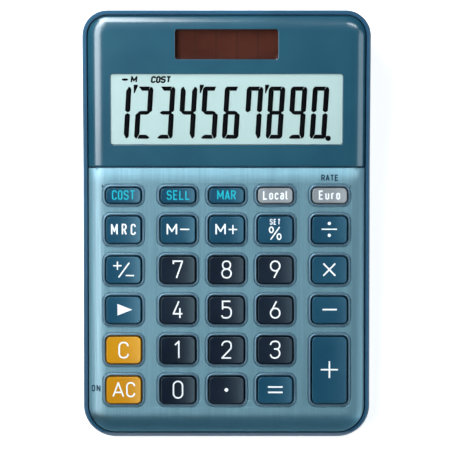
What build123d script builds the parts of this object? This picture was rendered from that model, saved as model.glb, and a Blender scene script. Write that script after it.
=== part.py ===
from build123d import *
import os
from math import atan, cos, degrees, radians, sin, sqrt, tan

# Desktop calculator: a wedge-shaped case with a brushed key plate and a steeper display.
# Millimetres. The origin is on the desk under the middle. +Y runs to the back, +Z up.

# Whole body
body_width = 103.0
body_length = 153.0
body_height = 30.7
deck_front_height = 10.0  # where the line of the key deck meets the front edge
key_tilt = 4.0  # degrees
display_run = 55.75  # back edge to the bend between keys and display
back_corner_radius = 9.0
front_corner_radius = 11.5
front_roll_radius = 16.0
front_roll_run = 10.0
wall = 1.9
overrun = 5.0  # how far a cutting block reaches past what it cuts
round_sides = 12  # flats round each small hole, screw and boss
foot_sides = 18
hidden_flats = 3  # flats that turn each corner inside the case

# Rim and the two panels inside it
rim_width = 1.4
rim_rounding = 0.5
groove = 0.5  # gap between the rim and the panels
panel_gap = 0.4  # gap between the key plate and the display panel
panel_rise = 0.8  # panels stand this far above the rim
panel_roll = 2.8  # radius of the rolled panel edges
plate_sheet = 0.8
channel_depth = 2.2
channel_clearance = 0.2
key_bed = 1.6
display_bed = 2.4
channel_floor = 1.3

# Lower case
parting_front_height = 4.2
parting_step = 0.25
tray_draft = 5.0  # degrees
tray_floor = 1.6
tray_rounding = 1.5
foot_height = 1.0
foot_recess = 0.5
foot_radius = 5.0
foot_clearance = 0.05
foot_side_margin = 15.5  # side of the body to the middle of a foot
foot_front_margin = 24.5
foot_back_margin = 18.5
rib_thickness = 1.2
rib_inner_place = 10.0
rib_margin = 6.75  # side of the board to the outer ribs
rib_clearance = 0.3
rib_start = 30.0

# Keys
key_columns = 5
key_side_margin = 8.25  # side of the body to the outer keys
key_back_margin = 7.4  # bend to the short keys
key_front_margin = 12.39  # front keys to the front of the deck's line
inner_lane = 5.1  # plate between the three middle columns
outer_lane = 7.15
row_lane = 4.93
short_row_lane = 4.88
short_key_length = 5.35
key_corner = 1.6
key_flats = 3  # flats that make up each rounded key corner
key_rise = 1.9  # above the plate
key_dish = 0.45
key_gap = 0.45
key_travel = 1.5
flange_width = 0.8
flange_thickness = 0.8
ring_width = 0.8
ring_rise = 0.3
bed_hole_clearance = 0.2

# Key mat and main board
mat_sheet = 0.8
dome_spare = 0.1  # left of a dome's height when its key is fully down
dome_radius = 3.6
dome_sides = 6
dome_draft = 35.0  # degrees
board_thickness = 1.2
board_margin = 0.7
post_radius = 1.7
post_sides = 8
post_clearance = 0.3
board_screw_radius = 0.9
board_screw_head_radius = 1.7
board_screw_head = 1.1
board_screw_length = 5.0
screw_clearance = 0.1

# Case screws
case_screw_radius = 1.1
case_screw_head_radius = 2.0
case_screw_head = 1.3
case_screw_grip = 2.6  # length inside the upper case
case_screw_clearance = 0.3
case_screw_seat = 1.6
boss_radius = 3.3
front_boss_side_margin = 15.5  # side of the body to the middle of a front boss
front_boss_margin = 6.2
back_boss_side_margin = 9.5
back_boss_margin = 9.5

# Display window, glass and its holder
window_side_margin = 9.95  # side of the body to the display window
window_front_margin = 8.51  # bend to the display window
window_lane = 5.33  # panel between the two windows
window_corner = 0.7
window_flange = 2.0
window_flange_thickness = 1.2
window_fit = 0.1
window_step = 0.15  # the window's face lies this far below the panel's
lcd_side_overlap = 2.45  # glass past the side of its window
lcd_end_overlap = 2.55
lcd_glass = 0.7
lcd_polariser = 0.2
lcd_ledge = 2.5
lcd_gap = 0.1
lcd_clearance = 0.3
frame_overlap = 3.0
frame_flange = 1.2
frame_bar = 3.5
ribbon_margin = 14.0  # side of the glass to the ribbon
ribbon_thickness = 0.2
ribbon_drop = 7.0
ribbon_lap = 2.5

# Solar window and cell
solar_window_width = 36.9
solar_window_length = 11.0
solar_back_margin = 6.72  # solar window to the back edge
solar_flange = 1.5
solar_side_overlap = 0.8  # cell past the side of its window
solar_end_overlap = 0.6
solar_cell_thickness = 1.1
solar_pocket = 1.2
lead_radius = 0.5
lead_clearance = 0.2
lead_start_margin = 3.25  # side of the cell to its leads
lead_end_margin = 9.75  # side of the board to the leads
lead_drop = 9.0
lead_lap = 3.0
lead_sides = 6

# Parts on the back of the board
chip_radius = 7.0
chip_height = 1.2
chip_edge = 0.8
chip_place = 35.0
capacitor_radius = 2.0
capacitor_length = 7.0
capacitor_side = 18.0
capacitor_place = 20.0
cell_radius = 5.8
cell_height = 3.05
cell_side = 19.0
cell_place = 22.0
clip_sheet = 0.3
clip_width = 5.0
clip_reach = 1.4

# Lines of the deck
key_slope = radians(key_tilt)
bend_place = body_length / 2 - display_run
bend_height = deck_front_height + (body_length - display_run) * tan(key_slope)
display_slope = atan((body_height - bend_height) / display_run)
key_plane = Plane(
    origin=(0, bend_place, bend_height), x_dir=(1, 0, 0), z_dir=(0, -sin(key_slope), cos(key_slope))
)
display_plane = Plane(
    origin=(0, bend_place, bend_height),
    x_dir=(1, 0, 0),
    z_dir=(0, -sin(display_slope), cos(display_slope)),
)
parting_plane = Plane(
    origin=(0, -body_length / 2, parting_front_height),
    x_dir=(1, 0, 0),
    z_dir=(0, -sin(key_slope), cos(key_slope)),
)

# Depths below the rim, square to the deck
panel_inset = rim_width + groove
bed_inset = panel_inset + panel_roll
bed_front = plate_sheet - panel_rise
bed_back = bed_front + key_bed
dome_height = key_travel + dome_spare
mat_back = bed_back + flange_thickness + dome_height + mat_sheet
board_back = mat_back + board_thickness
lcd_front = channel_depth + lcd_gap
lcd_back = lcd_front + 2 * lcd_polariser + 2 * lcd_glass
display_back = channel_depth + display_bed

# Windows, display glass and solar cell, along the slope from the bend
display_along = display_run / cos(display_slope)
solar_window_place = display_along - solar_back_margin - solar_window_length / 2
display_window_width = body_width - 2 * window_side_margin
display_window_back = solar_window_place - solar_window_length / 2 - window_lane
display_window_length = display_window_back - window_front_margin
display_window_place = window_front_margin + display_window_length / 2
lcd_width = display_window_width + 2 * lcd_side_overlap
lcd_length = display_window_length + 2 * lcd_end_overlap
ribbon_width = lcd_width - 2 * ribbon_margin
solar_cell_width = solar_window_width + 2 * solar_side_overlap
solar_cell_length = solar_window_length + 2 * solar_end_overlap

# Key columns and rows, from the middle and from the bend
short_key_names = ["key_cost", "key_sell", "key_margin", "key_local_currency", "key_euro"]
key_grid = [
    ["key_memory_recall", "key_memory_minus", "key_memory_plus", "key_percent", "key_divide"],
    ["key_sign", "key_7", "key_8", "key_9", "key_multiply"],
    ["key_step_back", "key_4", "key_5", "key_6", "key_minus"],
    ["key_clear", "key_1", "key_2", "key_3"],
    ["key_all_clear", "key_0", "key_point", "key_equals"],
]
row_count = len(key_grid)
lanes = 2 * inner_lane + 2 * outer_lane
key_width = (body_width - 2 * key_side_margin - lanes) / key_columns
inner_column = key_width + inner_lane
outer_column = inner_column + key_width + outer_lane
columns = [-outer_column, -inner_column, 0, inner_column, outer_column]

deck_run = (body_length - display_run) / cos(key_slope)
short_rows = key_back_margin + short_key_length + short_row_lane
lanes_between_rows = (row_count - 1) * row_lane
key_length = (deck_run - short_rows - lanes_between_rows - key_front_margin) / row_count
row_pitch = key_length + row_lane
top_row_place = key_back_margin + short_key_length / 2
rows = [-short_rows - key_length / 2 - row * row_pitch for row in range(row_count)]


def key_table():
    # name, place across, place along, length
    table = []
    for column, name in zip(columns, short_key_names):
        table.append((name, column, -top_row_place, short_key_length))
    for row, names in zip(rows, key_grid):
        for column, name in zip(columns, names):
            table.append((name, column, row, key_length))
    table.append(("key_plus", columns[-1], (rows[-1] + rows[-2]) / 2, key_length + row_pitch))
    return table


keys = key_table()

# Edges of the mat and the board
board_half_width = columns[-1] + key_width / 2 + flange_width + board_margin
board_back_edge = -top_row_place + short_key_length / 2 + flange_width + board_margin
board_front_edge = rows[-1] - key_length / 2 - flange_width - board_margin
board_length = board_back_edge - board_front_edge
board_middle = (board_back_edge + board_front_edge) / 2

# Leads from the solar cell, from the middle at each end
lead_start = solar_cell_width / 2 - lead_start_margin
lead_end = board_half_width - lead_end_margin

# Posts for the board stand in the lanes between keys
post_lane = (columns[-1] + columns[-2]) / 2
post_rows = [
    (-top_row_place - short_key_length / 2 + rows[0] + key_length / 2) / 2,
    (rows[1] + rows[2]) / 2,
    (rows[3] + rows[4]) / 2,
]
post_places = [(side * post_lane, row) for side in (-1, 1) for row in post_rows]


def flat_cornered(width, length, back_corner, front_corner, flats):
    # A rectangle whose corners turn in equal flats
    signs = [(1, 1), (-1, 1), (-1, -1), (1, -1)]
    points = []
    for quarter, (across, along) in enumerate(signs):
        corner = back_corner if along > 0 else front_corner
        centre_x = across * (width / 2 - corner)
        centre_y = along * (length / 2 - corner)
        for step in range(flats + 1):
            turn = radians(90) * (quarter + step / flats)
            points.append((centre_x + corner * cos(turn), centre_y + corner * sin(turn)))
    return make_face(Polyline(*points, close=True))


def round_cornered(width, length, back_corner, front_corner):
    face = Rectangle(width, length)
    face = fillet(face.vertices().group_by(Axis.Y)[-1], back_corner)
    return fillet(face.vertices().group_by(Axis.Y)[0], front_corner)


def plan_sizes(inset, stretch=1):
    # Width, length and corner radii of the case drawn in by the inset
    width = body_width - 2 * inset
    length = body_length * stretch - 2 * inset
    return (width, length, back_corner_radius - inset, front_corner_radius - inset)


def plan_block(inset):
    face = round_cornered(*plan_sizes(inset))
    return Pos(0, 0, -overrun) * extrude(face, amount=body_height + 2 * overrun)


def inner_block(inset):
    face = flat_cornered(*plan_sizes(inset), hidden_flats)
    return Pos(0, 0, -overrun) * extrude(face, amount=body_height + 2 * overrun)


def deck_point(plane, along, drop):
    # A point in the middle of the deck, as global Y and Z
    place = plane.from_local_coords((0, along, -drop))
    return (place.Y, place.Z)


def under_deck(drop, points):
    # Everything under the front roll and under the points that lead on from it to the back
    start = (body_length - display_run - front_roll_run) / cos(key_slope)
    centre = deck_point(key_plane, -start, front_roll_radius)
    roll = CenterArc(centre, front_roll_radius - drop, 90 + key_tilt, 90 - key_tilt)
    edge = Polyline(
        roll @ 0,
        *points,
        (body_length / 2 + overrun, -overrun),
        ((roll @ 1).X, -overrun),
        roll @ 1,
    )
    return extrude(Plane.YZ * make_face(roll + edge), amount=body_width / 2 + overrun, both=True)


def deck_block(drop):
    # Everything under the deck when the deck is lowered by the drop
    bend = deck_point(key_plane, drop * tan((display_slope - key_slope) / 2), drop)
    back = deck_point(display_plane, display_along + 2 * overrun, drop)
    return under_deck(drop, [bend, back])


def key_deck_block(drop):
    # The same with the key deck run on to the back in its own plane
    return under_deck(drop, [deck_point(key_plane, display_along + 2 * overrun, drop)])


def display_deck_block(drop):
    # Everything under the display's slope, from a little in front of the bend
    front = deck_point(display_plane, -2 * overrun, drop)
    back = deck_point(display_plane, display_along + 2 * overrun, drop)
    section = make_face(Polyline(front, back, (back[0], -overrun), (front[0], -overrun), close=True))
    return extrude(Plane.YZ * section, amount=body_width / 2 + overrun, both=True)


def key_part(setback):
    # The region in front of the bend
    depth = body_length
    place = bend_place - setback - depth / 2
    return Pos(0, place, body_height / 2) * Box(
        body_width + 2 * overrun, depth, body_height + 2 * overrun
    )


def below_parting():
    size = 2 * body_length
    return parting_plane * Pos(0, body_length / 2, -size / 2) * Box(size, size, size)


def shared_edges(faces, others):
    other_edges = others.edges()
    return ShapeList(
        edge for edge in faces.edges() if any(edge.is_same(other) for other in other_edges)
    )


def upward(solid):
    return solid.faces().filter_by(lambda face: face.normal_at().Z > sin(radians(5)))


def upright(solid):
    return solid.faces().filter_by(lambda face: abs(face.normal_at().Z) < sin(radians(1)))


def bevelled(solid, size):
    return chamfer(shared_edges(upward(solid), upright(solid)), size)


def rolled(solid, radius):
    # The top edges turn down in three flats that touch a roll of this radius
    solid = bevelled(solid, radius * (2 - sqrt(2)))
    sides = upright(solid)
    side_edges = sides.edges()
    slopes = ShapeList()
    tops = ShapeList()
    for face in upward(solid):
        meets_side = any(edge.is_same(other) for edge in face.edges() for other in side_edges)
        (slopes if meets_side else tops).append(face)
    edges = shared_edges(slopes, sides) + shared_edges(slopes, tops)
    return chamfer(edges, radius * (tan(radians(22.5)) - tan(radians(11.25))))


def key_outline(length, margin):
    width = key_width + 2 * margin
    corner = key_corner + margin
    return flat_cornered(width, length + 2 * margin, corner, corner, key_flats)


def rod(radius, sides=round_sides):
    return RegularPolygon(radius, sides)


def make_key(across, along, length):
    height = bed_back + panel_rise + key_rise
    cap = extrude(key_outline(length, 0), amount=height)
    dish_radius = ((key_width / 2) ** 2 + key_dish**2) / (2 * key_dish)
    dish = Cylinder(dish_radius, length + overrun, rotation=(90, 0, 0))
    cap -= Pos(0, 0, height + dish_radius - key_dish) * dish
    flange = Box(
        key_width + 2 * flange_width,
        length + 2 * flange_width,
        flange_thickness,
        align=(Align.CENTER, Align.CENTER, Align.MAX),
    )
    return key_plane * Pos(across, along, -bed_back) * (cap + flange)


def make_key_panel():
    panel = rolled(plan_block(panel_inset) & key_deck_block(-panel_rise), panel_roll)
    panel = panel & key_part(panel_gap / 2)
    panel -= inner_block(bed_inset) & deck_block(bed_front)
    panel -= inner_block(panel_inset + plate_sheet) & deck_block(bed_front + plate_sheet)
    panel -= deck_block(channel_depth - channel_clearance)
    rings = []
    holes = []
    for name, across, along, length in keys:
        place = key_plane * Pos(across, along, panel_rise)
        foot = Pos(0, 0, -plate_sheet / 2) * key_outline(length, key_gap + ring_width)
        lip = Pos(0, 0, ring_rise) * key_outline(length, key_gap)
        rings.append(place * loft([foot, lip], ruled=True))
        hole = extrude(key_outline(length, key_gap), amount=overrun, both=True)
        holes.append(place * hole)
    return panel + rings - holes


def window_box(width, length, place, low, high, margin, corner):
    # A block square to the display, between two depths below the rim
    face = flat_cornered(width + 2 * margin, length + 2 * margin, corner, corner, 1)
    return display_plane * Pos(0, place, -low) * extrude(face, amount=low - high)


def make_window(width, length, place, flange):
    lens = window_box(
        width,
        length,
        place,
        channel_depth,
        window_step - panel_rise,
        -window_fit,
        window_corner,
    )
    edge = window_box(
        width,
        length,
        place,
        channel_depth,
        channel_depth - window_flange_thickness,
        flange,
        window_corner + flange,
    )
    return lens + edge


def make_display_bezel():
    bezel = rolled(plan_block(panel_inset) & display_deck_block(-panel_rise), panel_roll)
    bezel -= key_part(-panel_gap / 2)
    bezel -= deck_block(channel_depth)
    windows = [
        (display_window_width, display_window_length, display_window_place, window_flange),
        (solar_window_width, solar_window_length, solar_window_place, solar_flange),
    ]
    for width, length, place, flange in windows:
        opening = (width, length, place, channel_depth + overrun, -panel_rise - overrun)
        bezel -= window_box(*opening, 0, window_corner)
        low = channel_depth + overrun
        high = channel_depth - window_flange_thickness
        rebate = (width, length, place, low, high)
        bezel -= window_box(*rebate, flange + window_fit, window_corner + flange)
    return bezel


def boss_places():
    places = []
    for side in (-1, 1):
        front_side = side * (body_width / 2 - front_boss_side_margin)
        back_side = side * (body_width / 2 - back_boss_side_margin)
        places.append((front_side, front_boss_margin - body_length / 2))
        places.append((back_side, body_length / 2 - back_boss_margin))
    return places


def parting_height(along):
    return parting_front_height + (along + body_length / 2) * tan(key_slope)


def make_upper_case():
    shell = bevelled(plan_block(0) & deck_block(0), rim_rounding)
    shell -= plan_block(rim_width) - deck_block(channel_depth)
    bed = inner_block(bed_inset) & deck_block(bed_front) & key_part(0)
    shell += bed - deck_block(channel_depth + channel_floor)

    display_hollow = inner_block(wall) & deck_block(display_back)
    edge_hollow = inner_block(wall) & deck_block(channel_depth + channel_floor) & key_part(0)
    key_hollow = inner_block(bed_inset + channel_floor) & deck_block(bed_back) & key_part(0)
    hollow = (display_hollow - key_part(0)) + edge_hollow + key_hollow

    bosses = []
    bores = []
    for across, along in boss_places():
        boss = Pos(across, along, 0) * extrude(rod(boss_radius), amount=body_height)
        bosses.append(boss)
        bore = rod(case_screw_radius)
        depth = parting_height(along) + case_screw_grip + screw_clearance
        bores.append(Pos(across, along, 0) * extrude(bore, amount=depth))
    posts = []
    for across, along in post_places:
        post = rod(post_radius, post_sides)
        posts.append(key_plane * Pos(across, along, -mat_back) * extrude(post, amount=mat_back))
        bore = rod(board_screw_radius, post_sides)
        reach = board_screw_length - board_thickness + screw_clearance
        bores.append(key_plane * Pos(across, along, -mat_back) * extrude(bore, amount=reach))

    case = shell - hollow
    case += [boss & hollow for boss in bosses]
    case += [post & hollow for post in posts]
    case -= below_parting()
    case -= bores

    cuts = []
    for name, across, along, length in keys:
        margin = 2 * (key_gap + bed_hole_clearance)
        hole = Box(key_width + margin, length + margin, 2 * (bed_back + panel_rise))
        cuts.append(key_plane * Pos(across, along, 0) * hole)
    opening = Box(
        lcd_width + 2 * lcd_clearance, lcd_length + 2 * lcd_clearance, 2 * (display_back + overrun)
    )
    cuts.append(display_plane * Pos(0, display_window_place, 0) * opening)
    pocket = Box(
        solar_cell_width + 2 * lcd_clearance,
        solar_cell_length + 2 * lcd_clearance,
        2 * (channel_depth + solar_pocket),
    )
    cuts.append(display_plane * Pos(0, solar_window_place, 0) * pocket)
    for side in (-1, 1):
        hole = rod(lead_radius + lead_clearance, lead_sides)
        lead_hole = extrude(hole, amount=display_back + overrun, both=True)
        cuts.append(display_plane * Pos(side * lead_start, solar_window_place, 0) * lead_hole)
    return case - cuts


def tray_block(face):
    # A drafted block below the parting plane, from the face of its top
    middle = body_length / 2 / cos(key_slope)
    depth = parting_height(body_length / 2) + overrun
    return parting_plane * extrude(Pos(0, middle, 0) * face, amount=-depth, taper=tray_draft)


def above_height(height):
    size = 2 * body_length
    return Pos(0, 0, height + size / 2) * Box(size, size, size)


def make_lower_case():
    stretch = 1 / cos(key_slope)
    outer = tray_block(round_cornered(*plan_sizes(parting_step, stretch)))
    outer = outer & above_height(foot_height)
    outer = chamfer(outer.faces().sort_by(Axis.Z)[0].edges(), tray_rounding)
    hollow = tray_block(flat_cornered(*plan_sizes(wall, stretch), hidden_flats))
    hollow = hollow & above_height(foot_height + tray_floor)
    case = outer - hollow

    rib_low = foot_height + tray_floor
    for place in (rib_inner_place, board_half_width - rib_margin):
        for side in (-1, 1):
            length = board_length - rib_start
            middle = board_front_edge + length / 2
            rib = key_plane * Pos(side * place, middle, -board_back - rib_clearance)
            case += hollow & (rib * Box(
                rib_thickness, length, body_height, align=(Align.CENTER, Align.CENTER, Align.MAX)
            ))
    for across, along in boss_places():
        boss = Pos(across, along, rib_low) * extrude(rod(boss_radius), amount=body_height)
        case += boss & hollow
        seat = parting_height(along) - case_screw_seat
        case -= Pos(across, along, 0) * extrude(
            rod(case_screw_head_radius + case_screw_clearance), amount=seat
        )
        case -= Pos(across, along, 0) * extrude(
            rod(case_screw_radius + screw_clearance), amount=body_height
        )
    for across, along in foot_places().values():
        recess = rod(foot_radius + foot_clearance, foot_sides)
        case -= Pos(across, along, 0) * extrude(recess, amount=foot_height + foot_recess)
    return case


def foot_places():
    across = body_width / 2 - foot_side_margin
    front = foot_front_margin - body_length / 2
    rear = body_length / 2 - foot_back_margin
    return {
        "foot_front_left": (-across, front),
        "foot_front_right": (across, front),
        "foot_rear_left": (-across, rear),
        "foot_rear_right": (across, rear),
    }


def make_case_screws():
    screws = []
    for across, along in boss_places():
        seat = parting_height(along) - case_screw_seat
        head = rod(case_screw_head_radius)
        shank = rod(case_screw_radius - screw_clearance)
        screw = Pos(0, 0, seat) * extrude(head, amount=-case_screw_head)
        screw += Pos(0, 0, seat) * extrude(shank, amount=case_screw_seat + case_screw_grip)
        screws.append(Pos(across, along, 0) * screw)
    return Compound(children=screws)


def make_board_screws():
    screws = []
    for across, along in post_places:
        head = rod(board_screw_head_radius, post_sides)
        shank = rod(board_screw_radius - screw_clearance, post_sides)
        screw = extrude(head, amount=-board_screw_head) + extrude(shank, amount=board_screw_length)
        screws.append(key_plane * Pos(across, along, -board_back) * screw)
    return Compound(children=screws)


def make_key_mat():
    sheet = Box(
        2 * board_half_width,
        board_length,
        mat_sheet,
        align=(Align.CENTER, Align.CENTER, Align.MIN),
    )
    mat = Pos(0, board_middle, -mat_back) * sheet
    domes = []
    for name, across, along, length in keys:
        base = RegularPolygon(min(dome_radius, length / 2), dome_sides)
        dome = extrude(base, amount=dome_height, taper=dome_draft)
        domes.append(Pos(across, along, mat_sheet - mat_back) * dome)
    holes = []
    hole_size = 2 * (post_radius + post_clearance)
    for across, along in post_places:
        holes.append(Pos(across, along, -mat_back) * Box(hole_size, hole_size, 2 * overrun))
    return key_plane * (mat + domes - holes)


def make_main_board():
    board = Pos(0, board_middle, -board_back) * Box(
        2 * board_half_width,
        board_length,
        board_thickness,
        align=(Align.CENTER, Align.CENTER, Align.MIN),
    )
    holes = []
    for across, along in post_places:
        hole = rod(board_screw_radius + screw_clearance, post_sides)
        hole = extrude(hole, amount=board_back, both=True)
        holes.append(Pos(across, along, -board_back) * hole)
    return key_plane * (board - holes)


def make_chip_cover():
    blob = chamfer(extrude(rod(chip_radius), amount=-chip_height).edges().group_by()[0], chip_edge)
    return key_plane * Pos(0, -chip_place, -board_back) * blob


def make_capacitor():
    can = extrude(Plane.YZ * rod(capacitor_radius), amount=capacitor_length / 2, both=True)
    drop = board_back + capacitor_radius
    return key_plane * Pos(-capacitor_side, -capacitor_place, -drop) * can


def make_battery_cell():
    cell = extrude(rod(cell_radius, foot_sides), amount=-cell_height)
    return key_plane * Pos(cell_side, -cell_place, -board_back - clip_sheet) * cell


def make_battery_clip_negative():
    plate = Box(
        2 * cell_radius, clip_width, clip_sheet, align=(Align.CENTER, Align.CENTER, Align.MAX)
    )
    return key_plane * Pos(cell_side, -cell_place, -board_back) * plate


def make_battery_clip_positive():
    half = cell_radius + clip_reach
    depth = 2 * clip_sheet + cell_height
    outer = Box(2 * half, clip_width, depth, align=(Align.CENTER, Align.CENTER, Align.MAX))
    inner = Box(
        2 * (half - clip_sheet),
        clip_width + overrun,
        depth - clip_sheet,
        align=(Align.CENTER, Align.CENTER, Align.MAX),
    )
    return key_plane * Pos(cell_side, -cell_place, -board_back) * (outer - inner)


def lcd_layer(width, length, shift, front, thickness):
    return (
        display_plane
        * Pos(0, display_window_place + shift, -front)
        * Box(width, length, thickness, align=(Align.CENTER, Align.CENTER, Align.MAX))
    )


def make_lcd_frame():
    width = lcd_width + 2 * frame_overlap
    length = lcd_length + 2 * frame_overlap
    ring = lcd_layer(width, length, 0, display_back, frame_flange)
    lip_depth = display_back - lcd_back
    lip = lcd_layer(lcd_width, lcd_length, 0, lcd_back, lip_depth)
    window_width = lcd_width - 2 * frame_bar
    window_length = lcd_length - frame_bar
    cut = lcd_layer(window_width, window_length, -frame_bar / 2, 0, 2 * overrun)
    ledge = lcd_layer(
        lcd_width + overrun,
        lcd_ledge,
        (lcd_ledge - lcd_length) / 2,
        lcd_back,
        lip_depth,
    )
    return ring + (lip - ledge) - cut


def make_lcd_ribbon():
    ledge_back = lcd_front + lcd_polariser + lcd_glass
    middle = ribbon_thickness / 2
    near = display_window_place - lcd_length / 2 + lcd_ledge / 2
    tail = display_window_place - lcd_length / 2 + lcd_ledge
    line = Polyline(
        deck_point(display_plane, tail - ribbon_thickness, ledge_back + middle),
        deck_point(display_plane, near, ledge_back + middle),
        deck_point(display_plane, near, ribbon_drop),
        deck_point(key_plane, board_back_edge + ribbon_lap, board_back + ribbon_thickness),
        deck_point(key_plane, board_back_edge, board_back + middle),
        deck_point(key_plane, board_back_edge - ribbon_lap, board_back + middle),
    )
    section = Plane.YZ * trace(line, line_width=ribbon_thickness)
    return extrude(section, amount=ribbon_width / 2, both=True)


def make_solar_cell():
    cell = Box(
        solar_cell_width,
        solar_cell_length,
        solar_cell_thickness,
        align=(Align.CENTER, Align.CENTER, Align.MIN),
    )
    floor = channel_depth + solar_pocket
    return display_plane * Pos(0, solar_window_place, -floor) * cell


def make_solar_lead(side):
    # From the back of the solar cell, round the display and up to the board
    floor = channel_depth + solar_pocket
    start = display_plane.from_local_coords((side * lead_start, solar_window_place, -floor))
    below = display_plane.from_local_coords((side * lead_start, solar_window_place, -lead_drop))
    end_along = board_back_edge - lead_lap
    foot = key_plane.from_local_coords((side * lead_end, end_along, -lead_drop))
    end = key_plane.from_local_coords((side * lead_end, end_along, -board_back))
    path = Polyline(start, below, foot, end)
    section = Plane(origin=start, z_dir=path % 0) * rod(lead_radius, lead_sides)
    return sweep(section, path=path, transition=Transition.RIGHT)


def make_foot(across, along):
    pad = extrude(rod(foot_radius, foot_sides), amount=foot_height + foot_recess)
    return Pos(across, along, 0) * pad


def make_parts():
    front = lcd_front
    parts = {
        "lower_case": make_lower_case(),
        "upper_case": make_upper_case(),
        "key_panel": make_key_panel(),
        "display_bezel": make_display_bezel(),
        "lcd_window": make_window(
            display_window_width, display_window_length, display_window_place, window_flange
        ),
        "solar_window": make_window(
            solar_window_width, solar_window_length, solar_window_place, solar_flange
        ),
        "lcd_front_polariser": lcd_layer(
            lcd_width, lcd_length - 2 * lcd_ledge, 0, front, lcd_polariser
        ),
        "lcd_front_glass": lcd_layer(lcd_width, lcd_length, 0, front + lcd_polariser, lcd_glass),
        "lcd_rear_glass": lcd_layer(
            lcd_width,
            lcd_length - lcd_ledge,
            lcd_ledge / 2,
            front + lcd_polariser + lcd_glass,
            lcd_glass,
        ),
        "lcd_reflector": lcd_layer(
            lcd_width,
            lcd_length - 2 * lcd_ledge,
            0,
            front + lcd_polariser + 2 * lcd_glass,
            lcd_polariser,
        ),
        "lcd_frame": make_lcd_frame(),
        "lcd_ribbon": make_lcd_ribbon(),
        "solar_cell": make_solar_cell(),
        "solar_lead_left": make_solar_lead(-1),
        "solar_lead_right": make_solar_lead(1),
        "key_mat": make_key_mat(),
        "main_board": make_main_board(),
        "chip_cover": make_chip_cover(),
        "capacitor": make_capacitor(),
        "battery_cell": make_battery_cell(),
        "battery_clip_negative": make_battery_clip_negative(),
        "battery_clip_positive": make_battery_clip_positive(),
        "board_screws": make_board_screws(),
        "case_screws": make_case_screws(),
    }
    for name, (across, along) in foot_places().items():
        parts[name] = make_foot(across, along)
    for name, across, along, length in keys:
        parts[name] = make_key(across, along, length)
    return parts


os.makedirs("parts", exist_ok=True)
for name, shape in make_parts().items():
    export_step(shape, f"parts/{name}.step")
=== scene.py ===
import bmesh
import bpy
import math
import numpy as np
from mathutils import Matrix, Vector
from mathutils.geometry import delaunay_2d_cdt


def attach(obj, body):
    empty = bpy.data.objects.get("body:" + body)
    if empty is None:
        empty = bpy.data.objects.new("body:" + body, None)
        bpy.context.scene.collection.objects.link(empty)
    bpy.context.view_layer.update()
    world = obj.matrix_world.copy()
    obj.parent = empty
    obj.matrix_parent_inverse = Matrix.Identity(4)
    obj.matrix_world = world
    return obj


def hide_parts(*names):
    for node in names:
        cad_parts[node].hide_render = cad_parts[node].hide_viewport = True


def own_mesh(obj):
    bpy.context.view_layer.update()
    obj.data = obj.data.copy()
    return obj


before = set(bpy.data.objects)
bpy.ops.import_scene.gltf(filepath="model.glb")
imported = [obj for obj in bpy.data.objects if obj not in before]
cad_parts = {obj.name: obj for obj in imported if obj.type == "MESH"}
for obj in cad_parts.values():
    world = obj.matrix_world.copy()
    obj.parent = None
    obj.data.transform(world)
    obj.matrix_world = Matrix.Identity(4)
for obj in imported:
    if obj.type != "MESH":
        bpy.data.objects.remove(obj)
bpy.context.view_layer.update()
print("frame loaded:", len(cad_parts), "nodes")

mm = 0.001

# the case: all lengths in millimetres, as in the solids
case = {
    "width": 103.0, "length": 153.0, "height": 30.7,
    "deckFront": 10.0, "keyTilt": 4.0, "displayRun": 55.75,
    "backCorner": 9.0, "frontCorner": 11.5,
    "frontRoll": 16.0, "frontRollRun": 10.0,
    "rim": 1.4, "groove": 0.5, "gap": 0.4, "rise": 0.8, "edgeRoll": 2.8,
    "channel": 2.2, "partingFront": 4.2,
}
keySlope = math.radians(case["keyTilt"])
bendY = case["length"] / 2 - case["displayRun"]
bendZ = case["deckFront"] + (case["length"] - case["displayRun"]) * math.tan(keySlope)
displaySlope = math.atan((case["height"] - bendZ) / case["displayRun"])


# shapes in plan

def roundedLoop(width, length, backCorner, frontCorner, steps, x, y):
    points = []
    for quarter, (across, along) in enumerate(((1, 1), (-1, 1), (-1, -1), (1, -1))):
        corner = backCorner if along > 0 else frontCorner
        centreX = x + across * (width / 2 - corner)
        centreY = y + along * (length / 2 - corner)
        for step in range(steps + 1):
            turn = math.pi / 2 * (quarter + step / steps)
            points.append((centreX + corner * math.cos(turn), centreY + corner * math.sin(turn)))
    return points


def insetLoop(shape, inset, steps):
    width, length, back, front, x, y = shape
    return roundedLoop(
        width - 2 * inset, length - 2 * inset, max(back - inset, 0.01), max(front - inset, 0.01), steps, x, y
    )


def depthInside(shape, x, y):  # how far points lie inside a rounded outline, less than zero outside
    width, length, back, front, centreX, centreY = shape
    corner = np.where(y > centreY, back, front)
    pastX = np.abs(x - centreX) - (width / 2 - corner)
    pastY = np.abs(y - centreY) - (length / 2 - corner)
    outside = np.hypot(np.maximum(pastX, 0), np.maximum(pastY, 0))
    return corner - outside - np.minimum(np.maximum(pastX, pastY), 0)


def fillLoops(loops, lines, keep):  # triangles between closed loops and along open lines
    points, edges = [], []
    for group, closed in ((loops, True), (lines, False)):
        for loop in group:
            start = len(points)
            points += [Vector(p[:2]) for p in loop]
            count = len(loop)
            edges += [(start + i, start + (i + 1) % count) for i in range(count if closed else count - 1)]
    found = delaunay_2d_cdt(points, edges, [], 0, 1e-5)
    flat = np.array([(v.x, v.y) for v in found[0]])
    triangles = np.array([tuple(f) for f in found[2]])
    middle = flat[triangles].mean(axis=1)
    return trimUnused(flat, triangles[keep(middle[:, 0], middle[:, 1])])


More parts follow.
